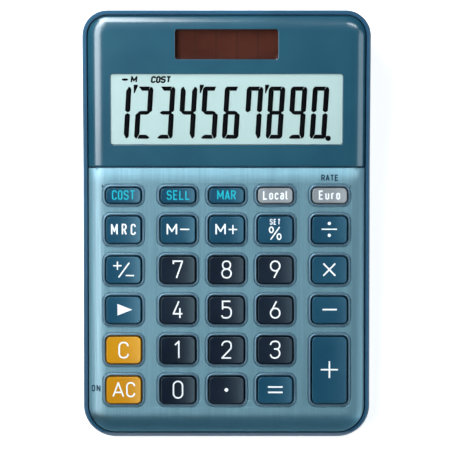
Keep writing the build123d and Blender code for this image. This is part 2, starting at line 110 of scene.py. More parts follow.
def crossedLoop(loop, x, y):  # whether points lie inside a closed loop
    ends = np.array([tuple(p) for p in loop])
    inside = np.zeros(len(x), dtype=bool)
    for (x0, y0), (x1, y1) in zip(ends, np.roll(ends, -1, axis=0)):
        if y0 != y1:
            inside ^= ((y0 > y) != (y1 > y)) & (x < x0 + (y - y0) * (x1 - x0) / (y1 - y0))
    return inside


def fillShapes(shapes):  # triangles of several shapes that may overlap, each a loop of points
    def keep(x, y):
        inside = np.zeros(len(x), dtype=bool)
        for shape in shapes:
            inside |= crossedLoop(shape, x, y)
        return inside

    return fillLoops(shapes, (), keep)


def trimUnused(flat, triangles):
    corners = flat[triangles]
    a, b, c = corners[:, 0], corners[:, 1], corners[:, 2]
    area = (b[:, 0] - a[:, 0]) * (c[:, 1] - a[:, 1]) - (b[:, 1] - a[:, 1]) * (c[:, 0] - a[:, 0])
    triangles = np.where((area < 0)[:, None], triangles[:, ::-1], triangles)
    triangles = triangles[np.abs(area) > 1e-9]
    used, inverse = np.unique(triangles, return_inverse=True)
    return flat[used], inverse.reshape(-1, 3)


# places on the decks

def onDeck(slope, across=0.0, along=0.0):  # millimetres square to a deck, to metres in the frame
    cos, sin = math.cos(slope), math.sin(slope)

    def place(x, y, z):
        y = y + along
        return np.stack([x + across, bendY + y * cos - z * sin, bendZ + y * sin + z * cos], axis=-1) * mm

    def turn(normals):
        x, y, z = normals[..., 0], normals[..., 1], normals[..., 2]
        return np.stack([x, y * cos - z * sin, y * sin + z * cos], axis=-1)

    return place, turn


def upright():
    def place(x, y, z):
        return np.stack([x, y, z], axis=-1) * mm

    return place, lambda n: n


def levelAt(height):  # a flat top or underside
    return lambda x, y: np.full_like(x, height)


probe = 0.001  # a short way along a surface, to find its slope


def heightNormals(height, x, y):
    slopeX = (height(x + probe, y) - height(x - probe, y)) / (2 * probe)
    slopeY = (height(x, y + probe) - height(x, y - probe)) / (2 * probe)
    normal = np.stack([-slopeX, -slopeY, np.ones_like(slopeX)], axis=-1)
    return normal / np.linalg.norm(normal, axis=-1, keepdims=True)


def makeSlab(name, region, top, bottom, frameOf, roundWalls=None):
    # a closed sheet: a top and an underside over the region, and walls round its edges
    inwards = 0.03  # normals are read a little inside each triangle, so that creases stay sharp
    flat, triangles = region
    place, turn = frameOf
    count = len(flat)
    x, y = flat[:, 0], flat[:, 1]
    points = np.concatenate([place(x, y, top(x, y)), place(x, y, bottom(x, y))])
    corners = flat[triangles]
    near = corners + inwards * (corners.mean(axis=1, keepdims=True) - corners)
    topNormals = turn(heightNormals(top, near[..., 0], near[..., 1]))
    faces = triangles.tolist()
    normals = [list(map(tuple, n)) for n in topNormals]
    faces += [(c + count, b + count, a + count) for a, b, c in triangles.tolist()]
    normals += [None] * len(triangles)
    directed = set()
    for a, b, c in triangles.tolist():
        directed.update(((a, b), (b, c), (c, a)))
    for a, b in directed:
        if (b, a) in directed:
            continue
        faces.append((b, a, a + count, b + count))
        if roundWalls is None:
            normals.append(None)
        else:
            side = turn(roundWalls(flat[[b, a, a, b]]))
            normals.append(list(map(tuple, side)))
    return makeMesh(name, points, faces, normals)


def makeMesh(name, points, faces, normals):
    mesh = bpy.data.meshes.new(name)
    mesh.from_pydata([tuple(p) for p in points], [], [tuple(f) for f in faces])
    mesh.update()
    mesh.polygons.foreach_set("use_smooth", [True] * len(faces))
    given = []
    for polygon, own in zip(mesh.polygons, normals):
        given += own if own else [tuple(polygon.normal)] * polygon.loop_total
    mesh.normals_split_custom_set(given)
    return mesh


def addPlanMap(mesh):  # a map that runs across and along the piece
    places = np.zeros(len(mesh.vertices) * 3)
    mesh.vertices.foreach_get("co", places)
    corners = np.zeros(len(mesh.loops), dtype=int)
    mesh.loops.foreach_get("vertex_index", corners)
    layer = mesh.uv_layers.new(name="plan")
    layer.data.foreach_set("uv", places.reshape(-1, 3)[corners, :2].ravel())


def addPiece(name, mesh, material, body, replaced=None):
    piece = bpy.data.objects.new(name, mesh)
    bpy.context.scene.collection.objects.link(piece)
    mesh.materials.clear()
    mesh.materials.append(material)
    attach(piece, body)
    if replaced:
        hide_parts(replaced)
    return piece


def outwardFrom(shape):  # wall directions round an outline
    def direction(points):
        x, y = points[:, 0], points[:, 1]
        slopeX = depthInside(shape, x + probe, y) - depthInside(shape, x - probe, y)
        slopeY = depthInside(shape, x, y + probe) - depthInside(shape, x, y - probe)
        normal = np.stack([-slopeX, -slopeY, np.zeros_like(slopeX)], axis=-1)
        return normal / np.maximum(np.linalg.norm(normal, axis=-1, keepdims=True), 1e-9)

    return direction


# materials

def colour(code):  # a six figure screen colour as linear light
    parts = [int(code[i:i + 2], 16) / 255 for i in (0, 2, 4)]
    return tuple(p / 12.92 if p <= 0.04045 else ((p + 0.055) / 1.055) ** 2.4 for p in parts) + (1.0,)


def newGroup(name, inputs, outputs):
    group = bpy.data.node_groups.new(name, "ShaderNodeTree")
    for label, value in inputs.items():
        socket = group.interface.new_socket(label, in_out="INPUT", socket_type="NodeSocketFloat")
        socket.default_value = value
    for label in outputs:
        group.interface.new_socket(label, in_out="OUTPUT", socket_type="NodeSocketFloat")
    return group, group.nodes.new("NodeGroupInput"), group.nodes.new("NodeGroupOutput")


def feed(tree, value, socket):  # a number or a colour is set, and an output is linked
    if isinstance(value, (int, float, tuple)):
        socket.default_value = value
    else:
        tree.links.new(value, socket)


def addNode(tree, kind, inputs, **settings):
    node = tree.nodes.new(kind)
    for label, value in settings.items():
        setattr(node, label, value)
    for label, value in inputs.items():
        feed(tree, value, node.inputs[label])
    return node


def addMath(tree, kind, *values):
    return addNode(tree, "ShaderNodeMath", dict(enumerate(values)), operation=kind).outputs[0]


def addRange(tree, value, low, high, toLow, toHigh):
    inputs = {"Value": value, "From Min": low, "From Max": high, "To Min": toLow, "To Max": toHigh}
    return addNode(tree, "ShaderNodeMapRange", inputs, interpolation_type="SMOOTHSTEP").outputs["Result"]


def addNoise(tree, vector, scale, detail=2.0, roughness=0.5):
    inputs = {"Vector": vector, "Scale": scale, "Detail": detail, "Roughness": roughness}
    return addNode(tree, "ShaderNodeTexNoise", inputs).outputs[0]


def objectPlace(tree, scale=(1, 1, 1)):
    place = tree.nodes.new("ShaderNodeTexCoord").outputs["Object"]
    return addNode(tree, "ShaderNodeMapping", {"Vector": place, "Scale": scale}).outputs["Vector"]


def axisPlace(tree, axis, output="Object"):  # one coordinate of the piece, or of the sky
    place = tree.nodes.new("ShaderNodeTexCoord").outputs[output]
    return addNode(tree, "ShaderNodeSeparateXYZ", {"Vector": place}).outputs[axis]


def makeBrushGroup():  # lines drawn from front to back, as a brush leaves them on sheet metal
    group, source, out = newGroup("brushedLines", {"Fine": 2600.0, "Broad": 420.0}, ("Lines", "Bands"))
    # a size, its share along the lines, an output and the detail
    for label, along, result, detail in (("Fine", 0.012, "Lines", 3.0), ("Broad", 0.03, "Bands", 2.0)):
        place = objectPlace(group, (1, along, along))
        noise = addNoise(group, place, source.outputs[label], detail, 0.6)
        group.links.new(addRange(group, noise, 0.3, 0.7, 0.0, 1.0), out.inputs[result])
    return group


def makeGrainGroup():  # the fine skin of moulded plastic and rubber
    group, source, out = newGroup("mouldGrain", {"Size": 3500.0}, ("Grain",))
    noise = addNoise(group, objectPlace(group), source.outputs["Size"], 2.0, 0.55)
    group.links.new(noise, out.inputs["Grain"])
    return group


def makePatchGroup():  # slow, soft changes of tone from handling and moulding
    group, source, out = newGroup("softPatches", {"Size": 35.0}, ("Patches",))
    noise = addNoise(group, objectPlace(group), source.outputs["Size"], 3.0, 0.55)
    group.links.new(addRange(group, noise, 0.32, 0.68, 0.0, 1.0), out.inputs["Patches"])
    return group


def makeWearAndHighlightGroup():  # corners a little brighter: rubbed wear, and a painted highlight where rounded edges catch the light
    look = {"samples": 4, "flat": 0.995, "sharp": 0.85, "patchySize": 900.0, "leastPatchy": 0.2}
    group, source, out = newGroup("edgeWearAndHighlight", {"Reach": 0.0003}, ("WornAndLit",))
    bevel = addNode(group, "ShaderNodeBevel", {"Radius": source.outputs["Reach"]}, samples=look["samples"])
    shape = group.nodes.new("ShaderNodeNewGeometry")
    pair = {0: bevel.outputs["Normal"], 1: shape.outputs["Normal"]}
    dot = addNode(group, "ShaderNodeVectorMath", pair, operation="DOT_PRODUCT").outputs["Value"]
    mask = addRange(group, dot, look["flat"], look["sharp"], 0.0, 1.0)
    noise = addNoise(group, objectPlace(group), look["patchySize"])
    patchy = addRange(group, noise, 0.35, 0.65, look["leastPatchy"], 1.0)
    group.links.new(addMath(group, "MULTIPLY", mask, patchy), out.inputs["WornAndLit"])
    return group


groups = {
    "brush": makeBrushGroup(), "grain": makeGrainGroup(),
    "patches": makePatchGroup(), "wearAndHighlight": makeWearAndHighlightGroup(),
}


def useGroup(tree, name, **values):
    return addNode(tree, "ShaderNodeGroup", values, node_tree=groups[name]).outputs


def mixColour(tree, amount, first, second):
    first, second = (colour(value) if isinstance(value, str) else value for value in (first, second))
    inputs = {0: amount, 6: first, 7: second}  # the sockets for colours
    return addNode(tree, "ShaderNodeMix", inputs, data_type="RGBA").outputs[2]


def newMaterial(name, shown):  # the shown colour is the one of plain previews
    material = bpy.data.materials.new(name)
    material.use_nodes = True
    material.diffuse_color = colour(shown)
    tree = material.node_tree
    return material, tree, tree.nodes["Principled BSDF"]


def softTone(tree, look):  # slow patches, and the tone that they give between two colours
    patches = useGroup(tree, "patches", Size=look["patchSize"])["Patches"]
    return patches, mixColour(tree, patches, look["low"], look["high"])


def setFinish(tree, shader, values):
    for label, value in values.items():
        feed(tree, value, shader.inputs[label])


def addBump(tree, shader, height, depth, strength):
    bump = addNode(tree, "ShaderNodeBump", {"Strength": strength, "Distance": depth, "Height": height})
    feed(tree, bump.outputs["Normal"], shader.inputs["Normal"])


plainLook = {
    "patchSize": 40.0, "grainSize": 3500.0, "grainDepth": 0.00001, "grainStrength": 0.5, "roughSpread": 0.05,
    "wornAndLit": None, "wornAndLitReach": 0.0003, "wornAndLitShare": 0.5, "metal": 0.0, "ior": 1.5, "shine": 0.5,
    "tint": (1, 1, 1), "coat": 0.0, "coatRough": 0.1, "coatIor": 1.5,
}


def mouldedFinish(name, own):
    look = {**plainLook, **own}
    material, tree, shader = newMaterial(name, look["high"])
    patches, tone = softTone(tree, look)
    grain = useGroup(tree, "grain", Size=look["grainSize"])["Grain"]
    # painted highlight and wear: edges are mixed towards a lighter colour
    if look["wornAndLit"]:
        wornAndLit = useGroup(tree, "wearAndHighlight", Reach=look["wornAndLitReach"])["WornAndLit"]
        tone = mixColour(tree, addMath(tree, "MULTIPLY", wornAndLit, look["wornAndLitShare"]), tone, look["wornAndLit"])
    addBump(tree, shader, grain, look["grainDepth"], look["grainStrength"])
    setFinish(tree, shader, {
        "Base Color": tone,
        "Roughness": addMath(tree, "MULTIPLY_ADD", patches, look["roughSpread"], look["rough"]),
        "Metallic": look["metal"], "IOR": look["ior"], "Specular IOR Level": look["shine"],
        "Specular Tint": (*look["tint"], 1), "Coat Weight": look["coat"],
        "Coat Roughness": look["coatRough"], "Coat IOR": look["coatIor"],
    })
    return material


finishes = {
    "lowerCase": {"low": "1c4156", "high": "234a61", "rough": 0.5, "grainSize": 2200.0,
                  "grainDepth": 0.00003},
    # the case's lighter edge colour is partly a painted highlight on its rounded rim
    "upperCase": {"low": "184966", "high": "1f5270", "rough": 0.5, "shine": 0.3, "wornAndLit": "5b879b",
                  "wornAndLitShare": 0.3, "coat": 0.6, "coatRough": 0.3},
    "bezel": {"low": "194d61", "high": "205568", "rough": 0.5, "shine": 0.1, "coat": 1.0, "coatRough": 0.21,
              "coatIor": 2.0, "grainStrength": 0.15},
    "blueKey": {"low": "0c3b54", "high": "13445c", "rough": 0.3, "shine": 0.9, "tint": (0.5, 0.88, 1.0),
                "grainStrength": 0.4},
    "darkKey": {"low": "050c1e", "high": "0a1326", "rough": 0.3, "shine": 0.68, "tint": (0.68, 0.93, 1.0),
                "grainStrength": 0.4},
    "orangeKey": {"low": "c3810c", "high": "cd8c0b", "rough": 0.3, "shine": 0.9, "tint": (0.95, 0.78, 0.35),
                  "grainStrength": 0.4},
    "greyKey": {"low": "84888c", "high": "8f9396", "rough": 0.32, "shine": 1.0, "grainStrength": 0.4},
    "whiteInk": {"low": "eef1f4", "high": "f8fafb", "rough": 0.45},
    "cyanInk": {"low": "0ea6b8", "high": "15b4c4", "rough": 0.5, "shine": 0.25},
    "tealInk": {"low": "143747", "high": "193f4f", "rough": 0.5, "shine": 0.2},
    "framePlastic": {"low": "1c1d1f", "high": "26282b", "rough": 0.5},
    "leadSkin": {"low": "8c1a16", "high": "a3231d", "rough": 0.45},
    "mat": {"low": "8f9497", "high": "a1a6a8", "rough": 0.7, "grainDepth": 0.00003},
    "chip": {"low": "111214", "high": "1b1c1f", "rough": 0.35, "grainSize": 1500.0, "grainDepth": 0.00005},
    "can": {"low": "a7aab0", "high": "bfc2c6", "rough": 0.28, "metal": 1.0},
    "cell": {"low": "b4b6ba", "high": "c7c9cc", "rough": 0.22, "metal": 1.0},
    "clip": {"low": "b8ab86", "high": "cbbf9c", "rough": 0.3, "metal": 1.0},
    "screw": {"low": "8f9297", "high": "a9abb0", "rough": 0.3, "metal": 1.0, "wornAndLit": "d9dadd"},
    "foot": {"low": "17181a", "high": "212326", "rough": 0.72, "grainSize": 2600.0, "grainDepth": 0.00004},
    "ribbonFilm": {"low": "b07226", "high": "c98a35", "rough": 0.35},
    "lcdBlack": {"low": "040407", "high": "08080b", "rough": 0.5, "shine": 0.05},
}
materials = {name: mouldedFinish(name, look) for name, look in finishes.items()}


def makePlateMetal():  # anodised sheet with lines brushed from front to back
    look = {
        # the front colour and its band along the piece give a painted shade on the front roll
        "low": "5f8997", "high": "739dab", "front": "569cb8", "frontShadeStart": -0.0676, "frontShadeEnd": -0.0722,
        "fine": 2600.0, "broad": 420.0, "patchSize": 22.0,
        "fineShare": 0.45, "broadShare": 0.35, "patchShare": 0.2,
        "rough": 0.42, "linesRougher": 0.05, "linesSmoother": 0.04,
        "lineDepth": 0.000012, "lineStrength": 0.6,
        "metal": 0.85, "spread": 0.8, "coat": 1.0, "coatRough": 0.35, "coatIor": 1.7,
    }
    material, tree, shader = newMaterial("brushedPlate", look["high"])
    across = tree.nodes.new("ShaderNodeTangent")
    across.direction_type = "UV_MAP"
    across.uv_map = "plan"
    brush = useGroup(tree, "brush", Fine=look["fine"], Broad=look["broad"])
    patches = useGroup(tree, "patches", Size=look["patchSize"])["Patches"]
    share = addMath(tree, "MULTIPLY", brush["Lines"], look["fineShare"])
    share = addMath(tree, "MULTIPLY_ADD", brush["Bands"], look["broadShare"], share)
    share = addMath(tree, "MULTIPLY_ADD", patches, look["patchShare"], share)
    sheet = mixColour(tree, share, look["low"], look["high"])
    # painted shade: the colour is deeper and bluer where the sheet rolls down at the front, standing in for
    # the darker reflection there
    front = addRange(tree, axisPlace(tree, "Y"), look["frontShadeEnd"], look["frontShadeStart"], 1.0, 0.0)
    addBump(tree, shader, brush["Lines"], look["lineDepth"], look["lineStrength"])
    setFinish(tree, shader, {
        "Base Color": mixColour(tree, front, sheet, look["front"]),
        "Roughness": addRange(tree, brush["Lines"], 0.0, 1.0, look["rough"] + look["linesRougher"],
                              look["rough"] - look["linesSmoother"]),
        "Tangent": across.outputs[0], "Anisotropic": look["spread"], "Metallic": look["metal"],
        "Coat Weight": look["coat"], "Coat Roughness": look["coatRough"], "Coat IOR": look["coatIor"],
    })
    return material


def makeBeadMetal():
    look = {"low": "607e91", "high": "708ea1", "rough": 0.3, "rougher": 0.36, "metal": 0.5, "patchSize": 60.0,
            "grainSize": 5000.0, "grainDepth": 0.000005, "grainStrength": 0.4}
    material, tree, shader = newMaterial("beadMetal", look["high"])
    _, tone = softTone(tree, look)
    grain = useGroup(tree, "grain", Size=look["grainSize"])["Grain"]
    addBump(tree, shader, grain, look["grainDepth"], look["grainStrength"])
    setFinish(tree, shader, {
        "Base Color": tone,
        "Roughness": addRange(tree, grain, 0.3, 0.7, look["rough"], look["rougher"]),
        "Metallic": look["metal"],
    })
    return material


def makeClear(name, low, high, weight):  # clear sheet: only its reflection hides what lies behind
    look = {"low": low, "high": high, "edgePower": 5.0, "least": 0.02, "patchSize": 25.0, "rough": 0.04,
            "rougher": 0.08, "shown": 0.2}
    material, tree, shader = newMaterial(name, high)
    material.diffuse_color[3] = look["shown"]
    edgeOn = tree.nodes.new("ShaderNodeLayerWeight")
    gloss = addMath(tree, "POWER", edgeOn.outputs["Facing"], look["edgePower"])
    patches, tone = softTone(tree, look)
    setFinish(tree, shader, {
        "Base Color": tone,
        "Alpha": addMath(tree, "MULTIPLY_ADD", gloss, weight, look["least"] * weight),
        "Roughness": addRange(tree, patches, 0.0, 1.0, look["rough"], look["rougher"]),
        "Metallic": 1.0,
    })
    return material


def makePaleCrystal():  # the pale field behind the digits
    look = {"low": "b5cac6", "high": "bacfcb", "shown": "cae4e5", "rough": 0.42, "rougher": 0.5,
            "patchSize": 18.0, "grainSize": 6000.0}
    material, tree, shader = newMaterial("paleCrystal", look["shown"])
    _, tone = softTone(tree, look)
    grain = useGroup(tree, "grain", Size=look["grainSize"])["Grain"]
    setFinish(tree, shader, {
        "Base Color": tone,
        "Roughness": addRange(tree, grain, 0.3, 0.7, look["rough"], look["rougher"]),
    })
    return material


def makeSolarFace():  # brown cell with fine lines between its strips
    look = {"low": "45231b", "high": "51291f", "line": "3e241e", "pitch": 0.0075, "lineHalf": 0.02,
            "lineFade": 0.035, "patchSize": 70.0, "rough": 0.2, "rougher": 0.26, "shine": 0.2}
    material, tree, shader = newMaterial("solarFace", look["high"])
    step = addMath(tree, "MULTIPLY", axisPlace(tree, "X"), 1 / look["pitch"])
    middle = addMath(tree, "ABSOLUTE", addMath(tree, "SUBTRACT", addMath(tree, "FRACT", step), 0.5))
    line = addRange(tree, middle, look["lineHalf"], look["lineFade"], 1.0, 0.0)
    patches, tone = softTone(tree, look)
    setFinish(tree, shader, {
        "Base Color": mixColour(tree, line, tone, look["line"]),
        "Roughness": addRange(tree, patches, 0.0, 1.0, look["rough"], look["rougher"]),
        "Specular IOR Level": look["shine"],
    })
    return material


def makeBoardFace():  # green laminate with faint copper tracks under the mask
    look = {"low": "14492a", "high": "1b5a35", "track": "2c7446", "patchSize": 50.0, "scale": 160,
            "trackWidth": 0.06, "trackSize": 2.0, "trackDepth": 0.00003, "trackStrength": 0.5,
            "rough": 0.3, "rougher": 0.4}
    material, tree, shader = newMaterial("boardFace", look["high"])
    patches, tone = softTone(tree, look)
    cells = addNode(tree, "ShaderNodeTexBrick", {
        "Vector": objectPlace(tree, (look["scale"],) * 3),
        "Mortar Size": look["trackWidth"], "Scale": look["trackSize"],
    })
    addBump(tree, shader, cells.outputs["Fac"], look["trackDepth"], look["trackStrength"])
    setFinish(tree, shader, {
        "Base Color": mixColour(tree, cells.outputs["Fac"], tone, look["track"]),
        "Roughness": addRange(tree, patches, 0.0, 1.0, look["rough"], look["rougher"]),
    })
    return material


materials["plate"] = makePlateMetal()
materials["bead"] = makeBeadMetal()
materials["window"] = makeClear("clearWindow", "e6f0f2", "f3f8f9", 0.9)
materials["glass"] = makeClear("displayGlass", "dcebea", "e8f3f2", 0.3)
materials["crystal"] = makePaleCrystal()
materials["solar"] = makeSolarFace()
materials["board"] = makeBoardFace()
print("materials:", len(materials))

# key plate and display panel

inset = case["rim"] + case["groove"]
panelShape = (
    case["width"] - 2 * inset, case["length"] - 2 * inset,
    case["backCorner"] - inset, case["frontCorner"] - inset, 0.0, 0.0,
)
cornerSteps = {"panel": 20, "hole": 7, "cap": 8, "flange": 3, "window": 6}
gapFront = bendY - case["gap"] / 2
gapBack = bendY + case["gap"] / 2

keyField = {
    "width": 12.4, "length": 9.55, "shortLength": 5.35, "corner": 1.6, "rise": 1.9, "dish": 0.45,
    "gap": 0.45, "flange": 0.8, "flangeTop": -1.6, "flangeThick": 0.8, "flangeCorner": 1.0, "overlap": 0.1,
    "rounding": 0.28, "dishReach": 8, "lineEnd": 20,
    "columns": (-37.05, -17.5, 0.0, 17.5, 37.05),
    "shortRow": -10.075, "firstRow": -22.405, "rowPitch": 14.48,
}
shortKeys = ("key_cost", "key_sell", "key_margin", "key_local_currency", "key_euro")
keyRows = (
    ("key_memory_recall", "key_memory_minus", "key_memory_plus", "key_percent", "key_divide"),
    ("key_sign", "key_7", "key_8", "key_9", "key_multiply"),
    ("key_step_back", "key_4", "key_5", "key_6", "key_minus"),
    ("key_clear", "key_1", "key_2", "key_3"),
    ("key_all_clear", "key_0", "key_point", "key_equals"),
)


def listKeys():
    keys = {}
    for name, across in zip(shortKeys, keyField["columns"]):
        keys[name] = (across, keyField["shortRow"], keyField["shortLength"])
    for row, names in enumerate(keyRows):
        along = keyField["firstRow"] - row * keyField["rowPitch"]
        for name, across in zip(names, keyField["columns"]):
            keys[name] = (across, along, keyField["length"])
    # the tall key spans the last two rows
    along = keyField["firstRow"] - 3.5 * keyField["rowPitch"]
    keys["key_plus"] = (keyField["columns"][-1], along, keyField["length"] + keyField["rowPitch"])
    return keys


keyPlaces = listKeys()
cosKey = math.cos(keySlope)
holeShapes = []
for across, along, length in keyPlaces.values():
    corner = keyField["corner"] + keyField["gap"]
    # a height of the plate over the deck's own line moves the hole a little to the front in plan
    planY = bendY + along * cosKey - case["rise"] * math.sin(keySlope)
    holeShapes.append((
        keyField["width"] + 2 * keyField["gap"], (length + 2 * keyField["gap"]) * cosKey, corner, corner,
        across, planY,
    ))

plateLook = {
    "crownReach": 6.2, "crownRadius": 14.0, "rollDrop": 0.25, "frontFade": 0.85,
    "gapRounding": 0.15, "gapCrownReach": 6.0, "gapCrownRadius": 30.0,
    "grooveIn": 0.8, "grooveOut": 1.2, "grooveDepth": 0.4, "grooveSteep": 1.6, "grooveFloor": 0.375,
    "swell": 0.14, "swellAt": -69.6, "swellReach": 2.2,
    "rimBand": 0.82, "shoulderBand": 2.82, "shoulderDrop": 1.6, "sheetDrop": 0.8,
}
grooveMiddle = (plateLook["grooveIn"] + plateLook["grooveOut"]) / 2
grooveHalf = (plateLook["grooveOut"] - plateLook["grooveIn"]) / 2
panelReach = {"side": 60, "end": 80}  # past all edges of both panels
gapSteps = (0.03, 0.12, 0.3, 0.6, 1.0)  # shares of the rounding at the gap


def edgeDrop(depth, look, roll):
    crown = np.clip(look["crownReach"] - depth, 0, None) ** 2 / (2 * look["crownRadius"])
    return crown + look["rollDrop"] * np.clip(1 - depth / roll, 0, 1) ** 2


def plateEdgeDrop(x, y):  # the plate rolls down at its sides, and much less at its front
    width, length, _, corner, _, _ = panelShape
    pastX = np.maximum(np.abs(x) - (width / 2 - corner), 0)
    pastY = np.maximum(-y - (length / 2 - corner), 0)
    front = pastY ** 2 / (pastX ** 2 + pastY ** 2 + 1e-9)
    drop = edgeDrop(depthInside(panelShape, x, y), plateLook, case["edgeRoll"])
    return drop * (1 - plateLook["frontFade"] * front)


def roundOff(distance, radius):  # the drop of a quarter round, by the distance from its edge
    turn = np.clip(1 - distance / radius, 0, 1)
    return radius * (1 - np.sqrt(np.clip(1 - turn ** 2, 0, 1)))


def gapCrown(y):  # the plate leans back a little towards the display
    look = plateLook
    return np.clip(look["gapCrownReach"] - (gapFront - y), 0, None) ** 2 / (2 * look["gapCrownRadius"])


rollCentreAlong = -(case["length"] - case["displayRun"] - case["frontRollRun"]) / cosKey
rollCentreY = bendY + rollCentreAlong * cosKey + case["frontRoll"] * math.sin(keySlope)
rollCentreZ = bendZ + rollCentreAlong * math.sin(keySlope) - case["frontRoll"] * cosKey


def keyDeckZ(y, rise):
    flat = bendZ + (y - bendY) * math.tan(keySlope) + rise / cosKey
    radius = case["frontRoll"] + rise
    tangent = rollCentreY - radius * math.sin(keySlope)
    arc = rollCentreZ + np.sqrt(np.clip(radius ** 2 - np.minimum(y - rollCentreY, 0) ** 2, 0.01, None))
    return np.where(y > tangent, flat, arc)


def nearestHole(x, y):
    distance = np.full_like(x, panelReach["end"])
    for shape in holeShapes:
        distance = np.minimum(distance, -depthInside(shape, x, y))
    return distance


def plateTop(x, y):
    look = plateLook
    z = keyDeckZ(y, case["rise"]) - plateEdgeDrop(x, y)
    z = z - roundOff(gapFront - y, look["gapRounding"]) - gapCrown(y)
    z = z + look["swell"] * np.exp(-(((y - look["swellAt"]) / look["swellReach"]) ** 2))
    away = np.abs(nearestHole(x, y) - grooveMiddle) / grooveHalf
    return z - look["grooveDepth"] * np.clip(look["grooveSteep"] * (1 - away), 0, 1)


def plateUnder(x, y):
    look = plateLook
    depth = depthInside(panelShape, x, y)
    inner = np.where(depth < look["shoulderBand"], look["shoulderDrop"], look["sheetDrop"])
    return keyDeckZ(y, case["rise"]) - np.where(depth < look["rimBand"], case["edgeRoll"], inner)


rollRings = (
    0.0, 0.03, 0.12, 0.28, 0.5, 0.8, 0.84, 1.2, 1.6, 2.1, 2.8, 2.84, 3.4, 4.0, 4.6, 5.2, 5.9, 6.5, 7.2,
)


def fillPanel(holes, offsets, low, high, rows):
    side, end = panelReach["side"], panelReach["end"]
    loops = [insetLoop(panelShape, depth, cornerSteps["panel"]) for depth in rollRings]
    loops += [insetLoop(hole, -offset, cornerSteps["hole"]) for hole in holes for offset in offsets]
    lines = [[(-side, y), (side, y)] for y in (*rows, low, high) if abs(y) < end]

    def keep(x, y):
        inside = (depthInside(panelShape, x, y) > 0) & (y > low) & (y < high)
        for hole in holes:
            inside &= depthInside(hole, x, y) < 0
        return inside

    return fillLoops(loops, lines, keep)


def makeKeyPlate():
    look = plateLook
    tangent = rollCentreY - (case["frontRoll"] + case["rise"]) * math.sin(keySlope)
    rollSteps = (-3.0, -2.0, -1.2, -0.6, 0, 0.5, 1.0, 1.5, 2.0, 2.5, 3.0, 4.0, 4.8, 5.6, 6.4, 7.2)
    rows = [tangent - step for step in rollSteps]
    rows += [gapFront - look["gapRounding"] * part for part in gapSteps]
    rows += [gapFront - look["gapCrownReach"] * part for part in (0.15, 0.25, 0.36, 0.48, 0.6, 0.75, 1.0)]
    floorHalf = grooveHalf * look["grooveFloor"]
    offsets = (0.0, look["grooveIn"], grooveMiddle - floorHalf, grooveMiddle + floorHalf, look["grooveOut"])
    region = fillPanel(holeShapes, offsets, -panelReach["end"], gapFront, rows)
    mesh = makeSlab("key_plate", region, plateTop, plateUnder, upright())
    addPlanMap(mesh)
    addPiece("key_plate", mesh, materials["plate"], "housing", "key_panel")
    print("key plate:", len(mesh.polygons), "faces")


bezelLook = {
    "crownReach": 5.6, "crownRadius": 11.0, "rollDrop": 0.45, "gapRounding": 0.5, "windowRounding": 0.25,
}
windows = {
    "lcd": {"width": 83.1, "length": 25.9, "along": 21.46, "corner": 0.9},
    "solar": {"width": 36.9, "length": 11.0, "along": 45.24, "corner": 0.9},
}
cosDisplay, sinDisplay = math.cos(displaySlope), math.sin(displaySlope)


def windowShape(window):
    planY = bendY + window["along"] * cosDisplay - case["rise"] * sinDisplay
    width, length, corner = (window[key] for key in ("width", "length", "corner"))
    return (width, length * cosDisplay, corner, corner, 0.0, planY)


windowShapes = [windowShape(window) for window in windows.values()]


def displayDeckZ(y, rise):
    return bendZ + (y - bendY) * math.tan(displaySlope) + rise / cosDisplay


def bezelTop(x, y):
    z = displayDeckZ(y, case["rise"]) - edgeDrop(depthInside(panelShape, x, y), bezelLook, case["edgeRoll"])
    z = z - roundOff(y - gapBack, bezelLook["gapRounding"])
    for shape in windowShapes:
        z = z - roundOff(-depthInside(shape, x, y), bezelLook["windowRounding"])
    return z


def bezelUnder(x, y):
    return displayDeckZ(y, -case["channel"])


def makeDisplayBezel():
    offsets = tuple(bezelLook["windowRounding"] * part for part in (0.0, 0.04, 0.15, 0.35, 0.65, 1.0))
    rows = [gapBack + bezelLook["gapRounding"] * part for part in gapSteps]
    region = fillPanel(windowShapes, offsets, gapBack, panelReach["end"], rows)
    mesh = makeSlab("display_panel", region, bezelTop, bezelUnder, upright())
    addPiece("display_panel", mesh, materials["bezel"], "housing", "display_bezel")
    print("display panel:", len(mesh.polygons), "faces")


makeKeyPlate()
makeDisplayBezel()

# bead rings round the keys

beadLook = {"width": 0.8, "sink": 0.1, "cornerSteps": 7, "around": 14}


def startTree(name, labels):  # a tree that puts one shape on each point that it is given
    tree = bpy.data.node_groups.new(name, "GeometryNodeTree")
    kinds = [("Geometry", "Geometry"), *((label, "Float") for label in labels), ("Finish", "Material")]
    for label, kind in kinds:
        tree.interface.new_socket(label, in_out="INPUT", socket_type="NodeSocket" + kind)
    tree.interface.new_socket("Geometry", in_out="OUTPUT", socket_type="NodeSocketGeometry")
    return tree, tree.nodes.new("NodeGroupInput").outputs


def endTree(tree, given, shape, turn=(0, 0, 0)):
    inputs = {"Points": given["Geometry"], "Instance": shape, "Rotation": turn}
    copies = addNode(tree, "GeometryNodeInstanceOnPoints", inputs).outputs["Instances"]
    whole = addNode(tree, "GeometryNodeRealizeInstances", {"Geometry": copies}).outputs["Geometry"]
    paint = addNode(tree, "GeometryNodeSetMaterial", {"Geometry": whole, "Material": given["Finish"]})
    addNode(tree, "NodeGroupOutput", {"Geometry": paint.outputs["Geometry"]})
    return tree


def runTree(name, tree, points, values, material):
    mesh = bpy.data.meshes.new(name)
    mesh.from_pydata(points, [], [])
    holder = bpy.data.objects.new(name, mesh)
    bpy.context.scene.collection.objects.link(holder)
    modifier = holder.modifiers.new(name, "NODES")
    modifier.node_group = tree
    given = {**values, "Finish": material}
    for item in tree.interface.items_tree:
        if item.item_type == "SOCKET" and item.in_out == "INPUT" and item.name in given:
            modifier[item.identifier] = given[item.name]
    graph = bpy.context.evaluated_depsgraph_get()
    made = bpy.data.meshes.new_from_object(holder.evaluated_get(graph), depsgraph=graph)
    holder.modifiers.clear()
    bpy.data.objects.remove(holder)
    made.name = name
    return made


